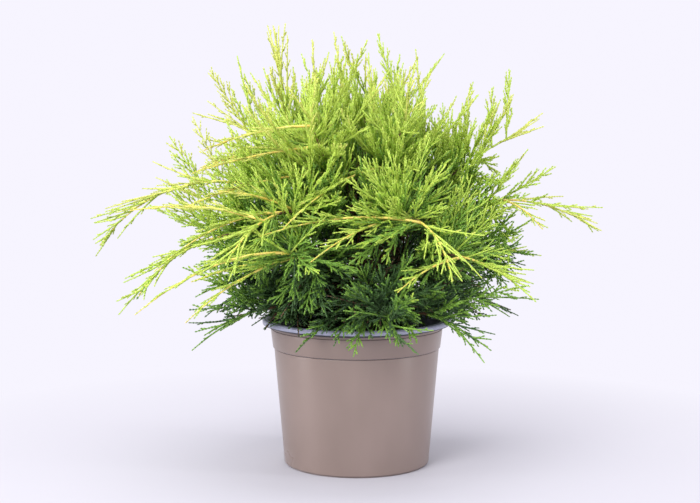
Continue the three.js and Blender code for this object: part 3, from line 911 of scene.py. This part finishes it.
def add_piece(name, mesh, slot, nodes, *materials, smooth=False):
    """A piece of the dressed part, in the place of the nodes that it names."""
    piece = in_scene(name, mesh)
    for material in materials:
        mesh.materials.append(material)
    if smooth:
        mesh.shade_smooth()
    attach(piece, "root")
    if nodes:
        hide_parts(*nodes)


def all_alike(places, pattern):
    """The corners of many items, and the faces that each has in the same pattern."""
    count, corners = places.shape[:2]
    offsets = (np.arange(count) * corners)[:, None, None]
    return places.reshape(-1, 3), (pattern + offsets).reshape(-1, 3)


def tube_arrays(points, radii, faces_to, sides):
    """Closed tubes along rows of points, each given a radius at each point."""
    count, rings = radii.shape
    forward = unit(np.gradient(points, axis=1))
    reference = np.broadcast_to(faces_to[:, None, :], forward.shape)
    side = unit(np.cross(reference, forward))
    upper = np.cross(forward, side)
    turns = 2 * np.pi * np.arange(sides) / sides
    ring = tilted(side[:, :, None], upper[:, :, None], turns[:, None])
    places = points[:, :, None] + ring * radii[:, :, None, None]
    here = np.arange(sides)
    following = (here + 1) % sides
    walls = []
    for i in range(rings - 1):
        low = i * sides
        high = low + sides
        walls.append(np.stack([low + here, low + following, high + here], axis=1))
        walls.append(np.stack([low + following, high + following, high + here], axis=1))
    fan = np.arange(1, sides - 1)
    centre = np.zeros_like(fan)
    top = (rings - 1) * sides
    walls.append(np.stack([centre, fan + 1, fan], axis=1))
    walls.append(np.stack([centre + top, fan + top, fan + 1 + top], axis=1))
    return all_alike(places.reshape(count, rings * sides, 3), np.concatenate(walls))


def cord_tubes(cords, thick, rings, sides, tip_share=TIP_SHARE):
    """A tapered tube along each cord."""
    shares = np.linspace(0, 1, rings)
    points = np.stack([cord_places(cords, share) for share in shares], axis=1)
    radii = np.broadcast_to(between(thick, thick * tip_share, shares), (len(cords), rings))
    return tube_arrays(points, radii, cords["face"], sides)


def leaf_arrays(cords, thick, begin=0):
    """Scale leaves in crossed pairs along cords: a folded kite of two triangles for each leaf."""
    counts = np.maximum(cords["length"] * (1 - begin) / LEAF_PITCH, 2).astype(int)
    owner, order = dealt(2 * counts)
    pair = order // 2
    twig = cords[owner]
    draws = rng.random((len(owner), 3))
    share = between(begin, 1, (pair + 0.2) / counts[owner])
    forward = cord_ways(twig, share)
    seat = cord_places(twig, share)
    face = unit(square_to(forward, twig["face"]))
    side = np.cross(face, forward)
    around = np.pi * (order % 2) + np.pi / 2 * (pair % 2) + between(-LEAF_TURN, LEAF_TURN, draws[:, 0])
    outward = tilted(side, face, around[:, None])
    breadth = np.cross(forward, outward)
    splay = twig["splay"] * between(*LEAF_SPLAYS, draws[:, 1]) * (1 - LEAF_SPLAY_FALL * share)
    splay = np.radians(splay)[:, None]
    length = twig["leaf"] * between(*LEAF_LENGTHS, draws[:, 2]) * (1 - LEAF_LENGTH_FALL * share)
    length = length[:, None]
    run = tilted(forward, outward, splay)
    keel = tilted(outward, -forward, splay)
    half = 0.5 * LEAF_WIDTH * length
    base = seat + outward * LEAF_SEAT * thick * between(1, TIP_SHARE, share[:, None])
    middle = base + run * LEAF_WIDEST * length - keel * LEAF_FOLD * length
    tip = base + run * length
    places = np.stack([base, middle - breadth * half, tip, middle + breadth * half], axis=1)
    return all_alike(places, np.array([[0, 1, 2], [0, 2, 3]]))


def add_joined(name, parts, slot, nodes, material, smooth=False):
    """One piece of parts that each give places in millimetres and three corners for each face."""
    starts = np.cumsum([0] + [len(places) for places, _ in parts[:-1]])
    places = np.concatenate([places for places, _ in parts])
    faces = np.concatenate([faces + start for (_, faces), start in zip(parts, starts)])
    mesh = bpy.data.meshes.new(name)
    mesh.vertices.add(len(places))
    mesh.vertices.foreach_set("co", (places * MM).astype(np.float32).ravel())
    mesh.loops.add(faces.size)
    mesh.loops.foreach_set("vertex_index", faces.astype(np.int32).ravel())
    mesh.polygons.add(len(faces))
    mesh.polygons.foreach_set("loop_start", np.arange(0, faces.size, 3, dtype=np.int32))
    mesh.update(calc_edges=True)
    add_piece(name, mesh, slot, nodes, material, smooth=smooth)


# Finishes

def new_material(name, roughness):
    """A new material, its node tree and its shader."""
    material = bpy.data.materials.new(name)
    material.use_nodes = True
    shader = material.node_tree.nodes["Principled BSDF"]
    shader.inputs["Roughness"].default_value = roughness
    return material, material.node_tree, shader


def object_noise(tree, scale, detail, stretch=(1, 1, 1)):
    """Noise in the object's own coordinates, so many to the metre, and stretched along an axis."""
    coordinates = tree.nodes.new("ShaderNodeTexCoord")
    mapping = tree.nodes.new("ShaderNodeMapping")
    mapping.inputs["Scale"].default_value = stretch
    texture = tree.nodes.new("ShaderNodeTexNoise")
    texture.inputs["Scale"].default_value = scale
    texture.inputs["Detail"].default_value = detail
    tree.links.new(coordinates.outputs["Object"], mapping.inputs["Vector"])
    tree.links.new(mapping.outputs["Vector"], texture.inputs["Vector"])
    return texture.outputs["Fac"]


def ramp(tree, factor, *stops):
    """A colour ramp over a factor, its stops given as position and colour."""
    node = tree.nodes.new("ShaderNodeValToRGB")
    elements = node.color_ramp.elements
    while len(elements) < len(stops):
        elements.new(0.5)
    for element, (position, colour) in zip(elements, stops):
        element.position = position
        element.color = (*colour, 1)
    tree.links.new(factor, node.inputs["Fac"])
    return node.outputs["Color"]


def tinted(tree, shader, factor, *stops):
    """Colours a shader by a ramp over a factor, and returns the colour's socket."""
    tint = ramp(tree, factor, *stops)
    tree.links.new(tint, shader.inputs["Base Color"])
    return tint


def bump(tree, shader, height, strength, distance):
    """Small relief on a shader's surface."""
    node = tree.nodes.new("ShaderNodeBump")
    node.inputs["Strength"].default_value = strength
    node.inputs["Distance"].default_value = distance
    tree.links.new(height, node.inputs["Height"])
    tree.links.new(node.outputs["Normal"], shader.inputs["Normal"])


def mix_in(tree, shader, other):
    """Mixes another node's light into a shader's, and returns the socket for its share."""
    mix = tree.nodes.new("ShaderNodeMixShader")
    tree.links.new(shader.outputs["BSDF"], mix.inputs[1])
    tree.links.new(other.outputs[0], mix.inputs[2])
    tree.links.new(mix.outputs["Shader"], tree.nodes["Material Output"].inputs["Surface"])
    return mix.inputs["Fac"]


def shaded(colour, gain):
    """A darker or paler shade of a colour."""
    return tuple(min(channel * gain, 1) for channel in colour)


def leaf_finish(name, colour):
    """Waxy scale leaves: mottled a little from twig to twig, and letting some light through."""
    material, tree, shader = new_material(name, 0.55)
    mottle = object_noise(tree, 110, 2.0)
    tint = tinted(tree, shader, mottle, (0.3, shaded(colour, 0.82)), (0.7, shaded(colour, 1.14)))
    shader.inputs["Specular IOR Level"].default_value = 0.22
    glow = tree.nodes.new("ShaderNodeBsdfTranslucent")
    tree.links.new(tint, glow.inputs["Color"])
    mix_in(tree, shader, glow).default_value = LEAF_GLOW
    return material


def twig_finish(name, dark, light, roughness):
    """Smooth young bark, its colour wandering between dark and light."""
    material, tree, shader = new_material(name, roughness)
    tinted(tree, shader, object_noise(tree, 160, 4.0), (0.35, dark), (0.68, light))
    bump(tree, shader, object_noise(tree, 900, 2.0), 0.3, 0.0003)
    return material


def bark_finish():
    """Thin red-brown bark that flakes in upright strips over paler wood."""
    material, tree, shader = new_material("flaking_bark", 0.85)
    strips = object_noise(tree, 420, 5.0, stretch=(1, 1, 0.22))
    tinted(tree, shader, strips, *BARK_COLOURS)
    bump(tree, shader, strips, 0.6, 0.0008)
    return material


def pot_finish(name, dark, light, roughness):
    """Satin moulded plastic: faint cloudy mottling, an uneven sheen and a fine grain."""
    material, tree, shader = new_material(name, roughness)
    tinted(tree, shader, object_noise(tree, 14, 3.0, stretch=(1, 1, 0.5)), (0.35, dark), (0.65, light))
    satin, dull = (roughness - 0.03,) * 3, (roughness + 0.03,) * 3
    sheen = ramp(tree, object_noise(tree, 22, 2.0), (0.3, satin), (0.7, dull))
    tree.links.new(sheen, shader.inputs["Roughness"])
    bump(tree, shader, object_noise(tree, 1500, 2.0), 0.12, 0.0002)
    return material


def compost_finish():
    """Moist peat, dark in its hollows and paler on its fibres."""
    material, tree, shader = new_material("moist_compost", 0.95)
    grain = object_noise(tree, 260, 6.0)
    tinted(tree, shader, grain, *COMPOST_COLOURS)
    bump(tree, shader, grain, 0.8, 0.001)
    return material


# Pot and compost

def turned(profile, segments):
    """A closed bmesh of a profile of radius and height in millimetres, spun about the pot's axis."""
    bm = bmesh.new()
    corners = [bm.verts.new((radius * MM, 0, height * MM)) for radius, height in profile]
    edges = [bm.edges.new(pair) for pair in zip(corners, corners[1:])]
    bmesh.ops.spin(bm, geom=corners + edges, cent=(0, 0, 0), axis=(0, 0, 1), angle=2 * math.pi,
                   steps=segments, use_merge=True)
    bmesh.ops.remove_doubles(bm, verts=bm.verts, dist=1e-6)
    bmesh.ops.recalc_face_normals(bm, faces=bm.faces)
    return bm


def wall_radius(height):
    """The pot's outer radius at a height below its lip."""
    if height > BAND_HEIGHT:
        share = (height - BAND_HEIGHT) / (LIP_BOTTOM - BAND_HEIGHT)
        return between(BAND_FOOT_RADIUS, NECK_RADIUS, share)
    return between(BASE_RADIUS, BAND_RADIUS, height / BAND_HEIGHT)


def mesh_of(bm, name):
    """The mesh of a bmesh, which is given up."""
    mesh = bpy.data.meshes.new(name)
    bm.to_mesh(mesh)
    bm.free()
    return mesh


def without_drains(mesh):
    """The pot's mesh with its ring of round drain holes cut through the base."""
    ring_radius = (PAD_RADIUS + FOOT_INNER_RADIUS) / 2 * MM
    cutter = bmesh.new()
    for i in range(DRAIN_COUNT):
        around = 2 * math.pi * (i + 0.5) / DRAIN_COUNT
        drill = bmesh.ops.create_cone(cutter, cap_ends=True, segments=24, radius1=DRAIN_RADIUS * MM,
                                      radius2=DRAIN_RADIUS * MM, depth=4 * BASE_THICK * MM)
        place = Vector((ring_radius * math.cos(around), ring_radius * math.sin(around), 0))
        bmesh.ops.translate(cutter, verts=drill["verts"], vec=place)
    drills = in_scene("drills", mesh_of(cutter, "drills"))
    holder = in_scene("uncut", mesh)
    cut = holder.modifiers.new("drains", "BOOLEAN")
    cut.operation = "DIFFERENCE"
    cut.object = drills
    cut.solver = "EXACT"
    view = bpy.context.evaluated_depsgraph_get()
    result = bpy.data.meshes.new_from_object(holder.evaluated_get(view))
    for thing in (drills, holder):
        bpy.data.objects.remove(thing)
    return result


def pot_profile():
    """The radius and height of every corner of the pot's wall, from under its base round to inside."""
    groove = BAND_RADIUS - GROOVE_DEPTH
    line_radius = wall_radius(LINE_HEIGHT)
    under_lip = POT_HEIGHT - LIP_THICK
    return [
        # Underside, with its pad, channel and foot ring
        (0, 0),
        (PAD_RADIUS, 0),
        (PAD_RADIUS + CHANNEL_RISE, CHANNEL_RISE),
        (FOOT_INNER_RADIUS - CHANNEL_RISE, CHANNEL_RISE),
        (FOOT_INNER_RADIUS, 0),
        (BASE_RADIUS - FOOT_CHAMFER, 0),
        # Wall, up to the groove under the band
        (BASE_RADIUS, FOOT_CHAMFER),
        (BAND_RADIUS - 0.05, BAND_HEIGHT - 0.9),
        (groove, BAND_HEIGHT - 0.5),
        (groove, BAND_HEIGHT),
        # Band, with the fine line under the lip
        (BAND_FOOT_RADIUS, BAND_HEIGHT + 0.5),
        (line_radius, LINE_HEIGHT - LINE_WIDTH / 2),
        (line_radius - GROOVE_DEPTH, LINE_HEIGHT - LINE_FLOOR / 2),
        (line_radius - GROOVE_DEPTH, LINE_HEIGHT + LINE_FLOOR / 2),
        (line_radius, LINE_HEIGHT + LINE_WIDTH / 2),
        (wall_radius(SHADOW_BOTTOM), SHADOW_BOTTOM),
        # Lip, from under it round to the top of the rim
        (NECK_RADIUS, LIP_BOTTOM + 0.4),
        (NECK_RADIUS + 0.8, under_lip),
        (RIM_RADIUS - 2 * WALL, under_lip),
        (RIM_RADIUS - 1.1 * WALL, LIP_BOTTOM),
        (RIM_RADIUS - LIP_CURL, LIP_BOTTOM),
        (RIM_RADIUS, LIP_BOTTOM + LIP_CURL_RISE),
        (RIM_RADIUS, POT_HEIGHT - 1.3),
        (RIM_RADIUS - 1.2, POT_HEIGHT),
        (NECK_RADIUS + 1.2, POT_HEIGHT),
        # Inside, down to the base
        (NECK_RADIUS - WALL - 0.2, POT_HEIGHT - 2.4),
        (BAND_FOOT_RADIUS - WALL, BAND_HEIGHT + BAND_STEP),
        (BAND_RADIUS - WALL, BAND_HEIGHT),
        (wall_radius(BASE_THICK) - WALL, BASE_THICK),
        (0, BASE_THICK),
    ]


def pot_colour(out, height):
    """Which of the pot's colours a face has, by the radius and height of its middle."""
    # The flat bottoms of the two fine lines, painted dark as the shade in their grooves
    for radius, middle in ((BAND_RADIUS, BAND_HEIGHT - 0.25), (wall_radius(LINE_HEIGHT), LINE_HEIGHT)):
        if abs(out - radius + GROOVE_DEPTH) < 0.1 and abs(height - middle) < 0.3:
            return "shaded_line"

    # Painted shade, near black, on the lip's underside and the wall behind it
    if SHADOW_BOTTOM < height < LIP_BOTTOM + 0.8 * LIP_CURL_RISE and out > NECK_RADIUS - 0.4:
        return "shaded_lip"

    # The rest of the lip and all of the inside are slate
    in_lip = height > LIP_BOTTOM - 0.6 and out > NECK_RADIUS + 0.9
    if height > BAND_HEIGHT:
        inside = out < wall_radius(height) - 0.75 * WALL or height > POT_HEIGHT - 1.9
    else:
        inside = height > BASE_THICK - 0.5 and out < wall_radius(height) - WALL / 2
    return "slate_plastic" if in_lip or inside else "taupe_plastic"


def make_pot():
    """The pot, its rings of edges softened, its drains cut and each face in its own colour."""
    bm = turned(pot_profile(), POT_SEGMENTS)
    ring_edges = [
        edge for edge in bm.edges
        if len(edge.link_faces) == 2 and edge.calc_face_angle() > math.radians(BEVEL_ANGLE)
        and edge.verts[0].co.z > BASE_THICK * MM / 2
    ]
    bmesh.ops.bevel(bm, geom=ring_edges, offset=EDGE_BEVEL * MM, segments=2, profile=0.5,
                    affect="EDGES", material=-1, clamp_overlap=True)
    mesh = without_drains(mesh_of(bm, "pot_uncut"))
    mesh.name = "pot_shell"
    finishes = [pot_finish(*finish) for finish in POT_FINISHES]
    add_piece("pot_shell", mesh, "pot", ["pot"], *finishes, smooth=True)
    mesh.set_sharp_from_angle(angle=math.radians(SHARP_ANGLE))
    names = [name for name, *_ in POT_FINISHES]
    for face in mesh.polygons:
        out = math.hypot(face.center.x, face.center.y) / MM
        face.material_index = names.index(pot_colour(out, face.center.z / MM))


def soil_height(out):
    """The compost's mean height at a distance from the middle."""
    fall = max(out - SOIL_SEAT_RADIUS, 0) / (BAND_RADIUS - SOIL_SEAT_RADIUS)
    return between(SOIL_CENTRE, SOIL_EDGE, fall ** SOIL_FALL)


def soil_side(height):
    """The radius of the compost's side, just clear of the pot's inner wall."""
    return wall_radius(height) - WALL - SEAT_GAP


def soil_lump(place, out, edge):
    """How far the compost's surface stands up or down, calm round the stem and near the wall."""
    calm = min(1, max(0, (out - SOIL_SEAT_RADIUS + 4) / 8)) * min(1, (edge - out) / 3 + 0.2)
    coarse, fine = (noise.noise(place / (spacing * MM)) for spacing in SOIL_LUMPS)
    return (coarse + SOIL_FINE * fine) * SOIL_ROUGHNESS * calm


def make_soil():
    """The compost: a body as wide as the pot's inside, its surface lumpy and lowest at the wall."""
    bottom = BASE_THICK + SEAT_GAP
    shoulder = BAND_HEIGHT - 1
    edge = soil_side(BAND_HEIGHT) + 0.6 * BAND_STEP
    rings = [edge * (1 - i / SOIL_STEPS) for i in range(SOIL_STEPS + 1)]
    profile = [(0, bottom), (soil_side(bottom), bottom), (soil_side(shoulder), shoulder)]
    bm = turned(profile + [(out, soil_height(out)) for out in rings], SOIL_SEGMENTS)
    for vert in bm.verts:
        if vert.co.z > (BAND_HEIGHT + 2) * MM:
            out = math.hypot(vert.co.x, vert.co.y) / MM
            vert.co.z += soil_lump(vert.co, out, edge) * MM
    finish = compost_finish()
    add_piece("compost_bed", mesh_of(bm, "compost_bed"), "compost", ["soil"], finish, smooth=True)
    make_crumbs(edge, finish)


def strewn(reach, innermost, count):
    """Places strewn evenly over the compost, from a share of the reach's area outwards."""
    out = reach * np.sqrt(rng.uniform(innermost, STREWN_TO, count))
    around = rng.uniform(0, 2 * np.pi, count)
    height = np.array([soil_height(distance) for distance in out])
    return np.stack([out * np.cos(around), out * np.sin(around), height], axis=1)


def make_crumbs(edge, finish):
    """Lumps of peat strewn over the compost, sunk a little into it."""
    lump = bmesh.new()
    bmesh.ops.create_icosphere(lump, subdivisions=1, radius=1)
    bmesh.ops.triangulate(lump, faces=lump.faces)
    corners = np.array([vert.co for vert in lump.verts])
    faces = np.array([[vert.index for vert in face.verts] for face in lump.faces])
    lump.free()
    centres = strewn(edge, CRUMB_FROM, CRUMB_COUNT)
    size = rng.uniform(*CRUMB_SIZES, CRUMB_COUNT) * rng.uniform(0.5, 1, CRUMB_COUNT)
    centres[:, 2] += CRUMB_RISE * size
    dents = rng.uniform(*CRUMB_DENTS, (CRUMB_COUNT, len(corners), 1))
    shape = dents * rng.uniform(*CRUMB_STRETCH, (CRUMB_COUNT, 1, 3))
    places = centres[:, None] + corners * shape * size[:, None, None]
    add_joined("compost_crumbs", [all_alike(places, faces)], "compost", [], finish)


# Stem and boughs

def stem_radius(share):
    """A root flare that runs out, then an even taper."""
    flare = (STEM_FLARE_RADIUS - STEM_RADIUS) * math.exp(-FLARE_DECAY * share)
    return flare + between(STEM_RADIUS, STEM_TIP_RADIUS, share)


def bark_noise(angle, along, ridges, spacing, shift):
    """How far a lump of bark stands out or in at an angle round a limb and a length along it."""
    rise = along / spacing + shift
    return noise.noise(Vector((ridges * math.cos(angle), ridges * math.sin(angle), rise)))


def add_bar(bm, limb, end, radius_at, sides, rings, relief):
    """A round bar bent along a limb up to a share of its length, its bark ridged by the relief."""
    earlier = len(bm.verts)
    bar = bmesh.ops.create_cone(bm, cap_ends=True, segments=sides, radius1=1, radius2=1, depth=1)
    long_edges = {
        edge for vert in bar["verts"] for edge in vert.link_edges
        if abs(edge.verts[0].co.z - edge.verts[1].co.z) > 0.5
    }
    bmesh.ops.subdivide_edges(bm, edges=list(long_edges), cuts=rings - 1)
    for vert in list(bm.verts)[earlier:]:
        share = min(max(vert.co.z + 0.5, 0), 1)
        along = end * share
        place, _, side, upper = frame_at(limb, along)
        angle = math.atan2(vert.co.y, vert.co.x)
        coarse = bark_noise(angle, along * limb["length"], *COARSE_LUMPS)
        fine = bark_noise(angle, along * limb["length"], *FINE_LUMPS)
        radius = radius_at(share) * (1 + relief * (coarse + FINE_BARK * fine))
        spot = place + side * math.cos(angle) * radius + upper * math.sin(angle) * radius
        vert.co = Vector(spot) * MM


def add_bark(name, bm, nodes, bark):
    """A piece of bark from bars, in the place of the solids' stem or boughs."""
    bmesh.ops.recalc_face_normals(bm, faces=bm.faces)
    add_piece(name, mesh_of(bm, name), "bark", nodes, bark, smooth=True)


def make_wood(stem, limbs, bark):
    """The stem, cut flat over the compost, and the bare bough at the foot of every limb."""
    bm = bmesh.new()
    add_bar(bm, stem, 1, stem_radius, *STEM_BARK)
    for vert in bm.verts:
        if vert.co.z < (SOIL_CENTRE + 1) * MM:
            vert.co.z = (SOIL_CENTRE + SEAT_GAP) * MM
    add_bark("bark_stem", bm, ["stem"], bark)
    bm = bmesh.new()
    for limb in limbs:
        radius_at = partial(between, limb["thick"], LEADER_RADIUS)
        add_bar(bm, limb, limb["bare"], radius_at, *BOUGH_BARK)
    add_bark("bark_boughs", bm, [f"bough_{limb['name']}" for limb in limbs], bark)


# Foliage

def leader_tubes(limb, begin, end):
    """A limb's leading shoot between two shares of the limb's length."""
    shares = np.linspace(begin, end, LEADER_RINGS)
    frames = [frame_at(limb, share) for share in shares]
    points = np.array([place for place, *_ in frames])[None]
    spans = (shares - limb["bare"]) / (1 - limb["bare"])
    radii = between(LEADER_RADIUS, LEADER_TIP_RADIUS, spans)[None]
    return tube_arrays(points, radii, frames[0][3][None], LEADER_SIDES)


def leader_cords(limb):
    """The outer length of a leading shoot as a chain of cords that leaves can stand on."""
    habit = HABITS[limb["habit"]]
    path = limb["path"]
    rows = []
    for i in range(int(PATH_STEPS * between(limb["bare"], 1, LEADER_LEAVES_FROM)), PATH_STEPS):
        step = path[i + 1] - path[i]
        _, forward, _, upper = frame_at(limb, (i + 0.5) / PATH_STEPS)
        rows.append(cord_row(habit, path[i], unit(step), (0, 0, 0), upper, np.linalg.norm(step), 0,
                             reach=0, leaf=LEADER_LEAF_SIZE))
    return np.array(rows, CORD)


def golden_from(limb):
    """The share of a limb's length where its leading shoot turns from brown bark to gold."""
    shares = np.linspace(limb["bare"], 1, 40)
    places = np.array([frame_at(limb, share)[0] for share in shares])
    lit = crown_depth(places) > GOLDEN_DEPTH
    return shares[lit.argmax()] if lit.any() else GOLDEN_LATEST


def litter():
    """Fallen brown sprays that lie on the compost."""
    fallen = np.zeros(LITTER_COUNT, CORD)
    fallen["root"] = strewn(LITTER_REACH, LITTER_FROM, LITTER_COUNT)
    fallen["root"][:, 2] += LITTER_RISE
    heading = rng.uniform(0, 2 * np.pi, LITTER_COUNT)
    fallen["way"] = np.stack([np.cos(heading), np.sin(heading), np.zeros(LITTER_COUNT)], axis=1)
    fallen["face"] = UPWARD
    fallen["length"] = rng.uniform(*LITTER_LENGTHS, LITTER_COUNT)
    fallen["leaf"] = LITTER_LEAF
    fallen["splay"] = LITTER_SPLAY
    ends = cord_places(fallen, 1)
    return fallen[np.hypot(ends[:, 0], ends[:, 1]) < LITTER_REACH]


def add_leaves(leafy, dead, nodes):
    """Scale leaves, a piece for each tint, and the dead brown ones with the litter."""
    for low, name, slot, colour, high in with_lows(TINTS):
        parts = [leaf_arrays(of_tone(cords, low, high), *seat) for cords, *seat in leafy]
        add_joined(f"leaves_{name}", parts, slot, nodes, leaf_finish(name, colour))
    name, slot, colour = DEAD_TINT
    parts = [leaf_arrays(dead, BRANCHLET_RADIUS), leaf_arrays(litter(), BRANCHLET_RADIUS)]
    add_joined(f"leaves_{name}", parts, slot, nodes, leaf_finish(name, colour))


def leading_shoots(limbs):
    """The tubes of the leading shoots by tint: each is brown as far as it lies in the shade."""
    tubes = {tint: [] for tint in ("brown", *OUTER_TINTS.values())}
    for limb in limbs:
        turn = golden_from(limb)
        tubes["brown"].append(leader_tubes(limb, limb["bare"], turn))
        tubes[OUTER_TINTS[limb["habit"]]].append(leader_tubes(limb, turn - TINT_OVERLAP, 1))
    return tubes


def add_twigs(limbs, shoots, trailing, twigs, bare, nodes):
    """Leading shoots, side shoots and all finer twigs: brown in the shade, and green to golden."""
    brown = twig_finish("brown_twig", *BROWN_TWIG, 0.6)
    gold = twig_finish("golden_twig", *GOLDEN_TWIG, 0.45)
    leading = leading_shoots(limbs)
    in_shade = shoots["tone"] <= BROWN_SHOOT_TONE
    inner = leading["brown"] + [cord_tubes(shoots[in_shade], *SHOOT_TUBE)]
    add_joined("shoots_brown", inner, "bark", nodes, brown, True)
    golden = leading["gold"] + [cord_tubes(trailing, *TRAILING_TUBE)]
    add_joined("shoots_golden", golden, "foliage_golden", nodes, gold, True)
    twigs = [(shoots[~in_shade], SHOOT_TUBE)] + twigs
    for low, name, slot, dark, light, high in with_lows(TWIG_TINTS):
        parts = [cord_tubes(of_tone(cords, low, high), *tube) for cords, tube in twigs]
        finish = twig_finish(f"{name}_twig", dark, light, 0.5)
        add_joined(f"twigs_{name}", leading.get(name, []) + parts, slot, nodes, finish, True)
    add_joined("twigs_brown", [cord_tubes(bare, *BARE_TUBE)], "bark", nodes, brown)


def make_foliage(limbs, nodes):
    """Every twig and leaf, in the place of the masses of foliage."""
    shoots, trailing = make_shoots(limbs)
    carriers = np.concatenate([shoots, trailing])
    branchlets = clipped(grown_on(carriers, BRANCHLET_FIRST, branchlet_lengths, BRANCHLET_ROLL))
    long_enough = branchlets[branchlets["length"] > LONG_BRANCHLET]
    twiglets = clipped(grown_on(long_enough, TWIGLET_FIRST, twiglet_lengths, TWIGLET_ROLL))
    leaders = np.concatenate([leader_cords(limb) for limb in limbs])
    shoots = toned(shoots, SHOOT_TONE)
    trailing = toned(trailing, SHOOT_TONE)
    branchlets = toned(branchlets, BRANCHLET_TONE)
    twiglets = toned(twiglets, TWIGLET_TONE)
    leaders = toned(leaders, BRANCHLET_TONE)

    # Deep in the crown the twigs are bare or hold dead brown leaves
    twiglets = twiglets[crown_depth(twiglets["root"]) > TWIGLET_DEPTH]
    deep = crown_depth(branchlets["root"]) < DYING_DEPTH
    dying = deep & (rng.random(len(branchlets)) < DYING_SHARE)
    dead = branchlets[dying & (rng.random(len(branchlets)) < DEAD_LEAF_SHARE)]
    living = branchlets[~dying]

    # Each with its radius and the share of its length where its leaves begin
    leafy = [
        (shoots, SHOOT_RADIUS, SHOOT_LEAVES_FROM),
        (trailing, TRAILING_RADIUS, TRAILING_LEAVES_FROM),
        (living, BRANCHLET_RADIUS, 0),
        (twiglets, TWIGLET_RADIUS, 0),
        (leaders, SHOOT_RADIUS, 0),
    ]
    add_leaves(leafy, dead, nodes)
    twigs = [(living, BRANCHLET_TUBE), (twiglets, TWIGLET_TUBE)]
    add_twigs(limbs, shoots, trailing, twigs, branchlets[dying], nodes)


# Stage, lights and camera

def make_stage():
    """A pale floor that fades into the backdrop round the pot."""
    bm = bmesh.new()
    bmesh.ops.create_circle(bm, cap_ends=True, segments=96, radius=FLOOR_RADIUS)
    floor = in_scene("floor", mesh_of(bm, "floor"))
    material, tree, shader = new_material("pale_floor", 0.8)
    shader.inputs["Base Color"].default_value = FLOOR_COLOUR
    coordinates = tree.nodes.new("ShaderNodeTexCoord")
    distance = tree.nodes.new("ShaderNodeVectorMath")
    distance.operation = "LENGTH"
    tree.links.new(coordinates.outputs["Object"], distance.inputs[0])
    near, far = FLOOR_FADE
    fade = ramp(tree, distance.outputs["Value"], (near, (0, 0, 0)), (far, (1, 1, 1)))
    backdrop = tree.nodes.new("ShaderNodeEmission")
    backdrop.inputs["Color"].default_value = BACKDROP
    tree.links.new(fade, mix_in(tree, shader, backdrop))
    floor.data.materials.append(material)
    world = bpy.data.worlds.new("studio")
    world.use_nodes = True
    background = world.node_tree.nodes["Background"]
    background.inputs["Color"].default_value = BACKDROP
    background.inputs["Strength"].default_value = 1.0
    bpy.context.scene.world = world


def point_at(thing, place, aim):
    """Sets a light or the camera in its place, looking at its aim."""
    thing.location = place
    thing.rotation_euler = (Vector(aim) - Vector(place)).to_track_quat("-Z", "Y").to_euler()


def make_lights():
    """Soft boxes that all look at the crown."""
    for name, place, size, watts in SOFTBOXES:
        light = bpy.data.lights.new(name, "AREA")
        light.shape = "RECTANGLE"
        light.size, light.size_y = size
        light.energy = watts
        point_at(in_scene(name, light), place, LIGHT_AIM)


def make_camera():
    """A long lens straight in front of the plant."""
    data = bpy.data.cameras.new("camera")
    data.lens = CAMERA_LENS
    data.sensor_width = 36
    data.clip_start = 0.05
    camera = in_scene("camera", data)
    point_at(camera, CAMERA_PLACE, CAMERA_AIM)
    bpy.context.scene.camera = camera


make_camera()
make_stage()
make_lights()
bpy.context.scene.view_settings.view_transform = "Standard"
make_pot()
make_soil()
stem = make_stem()
limbs = make_limbs(stem)
make_wood(stem, limbs[:-1], bark_finish())
make_foliage(limbs, sorted(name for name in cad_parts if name.startswith("foliage_")))

bpy.context.view_layer.update()
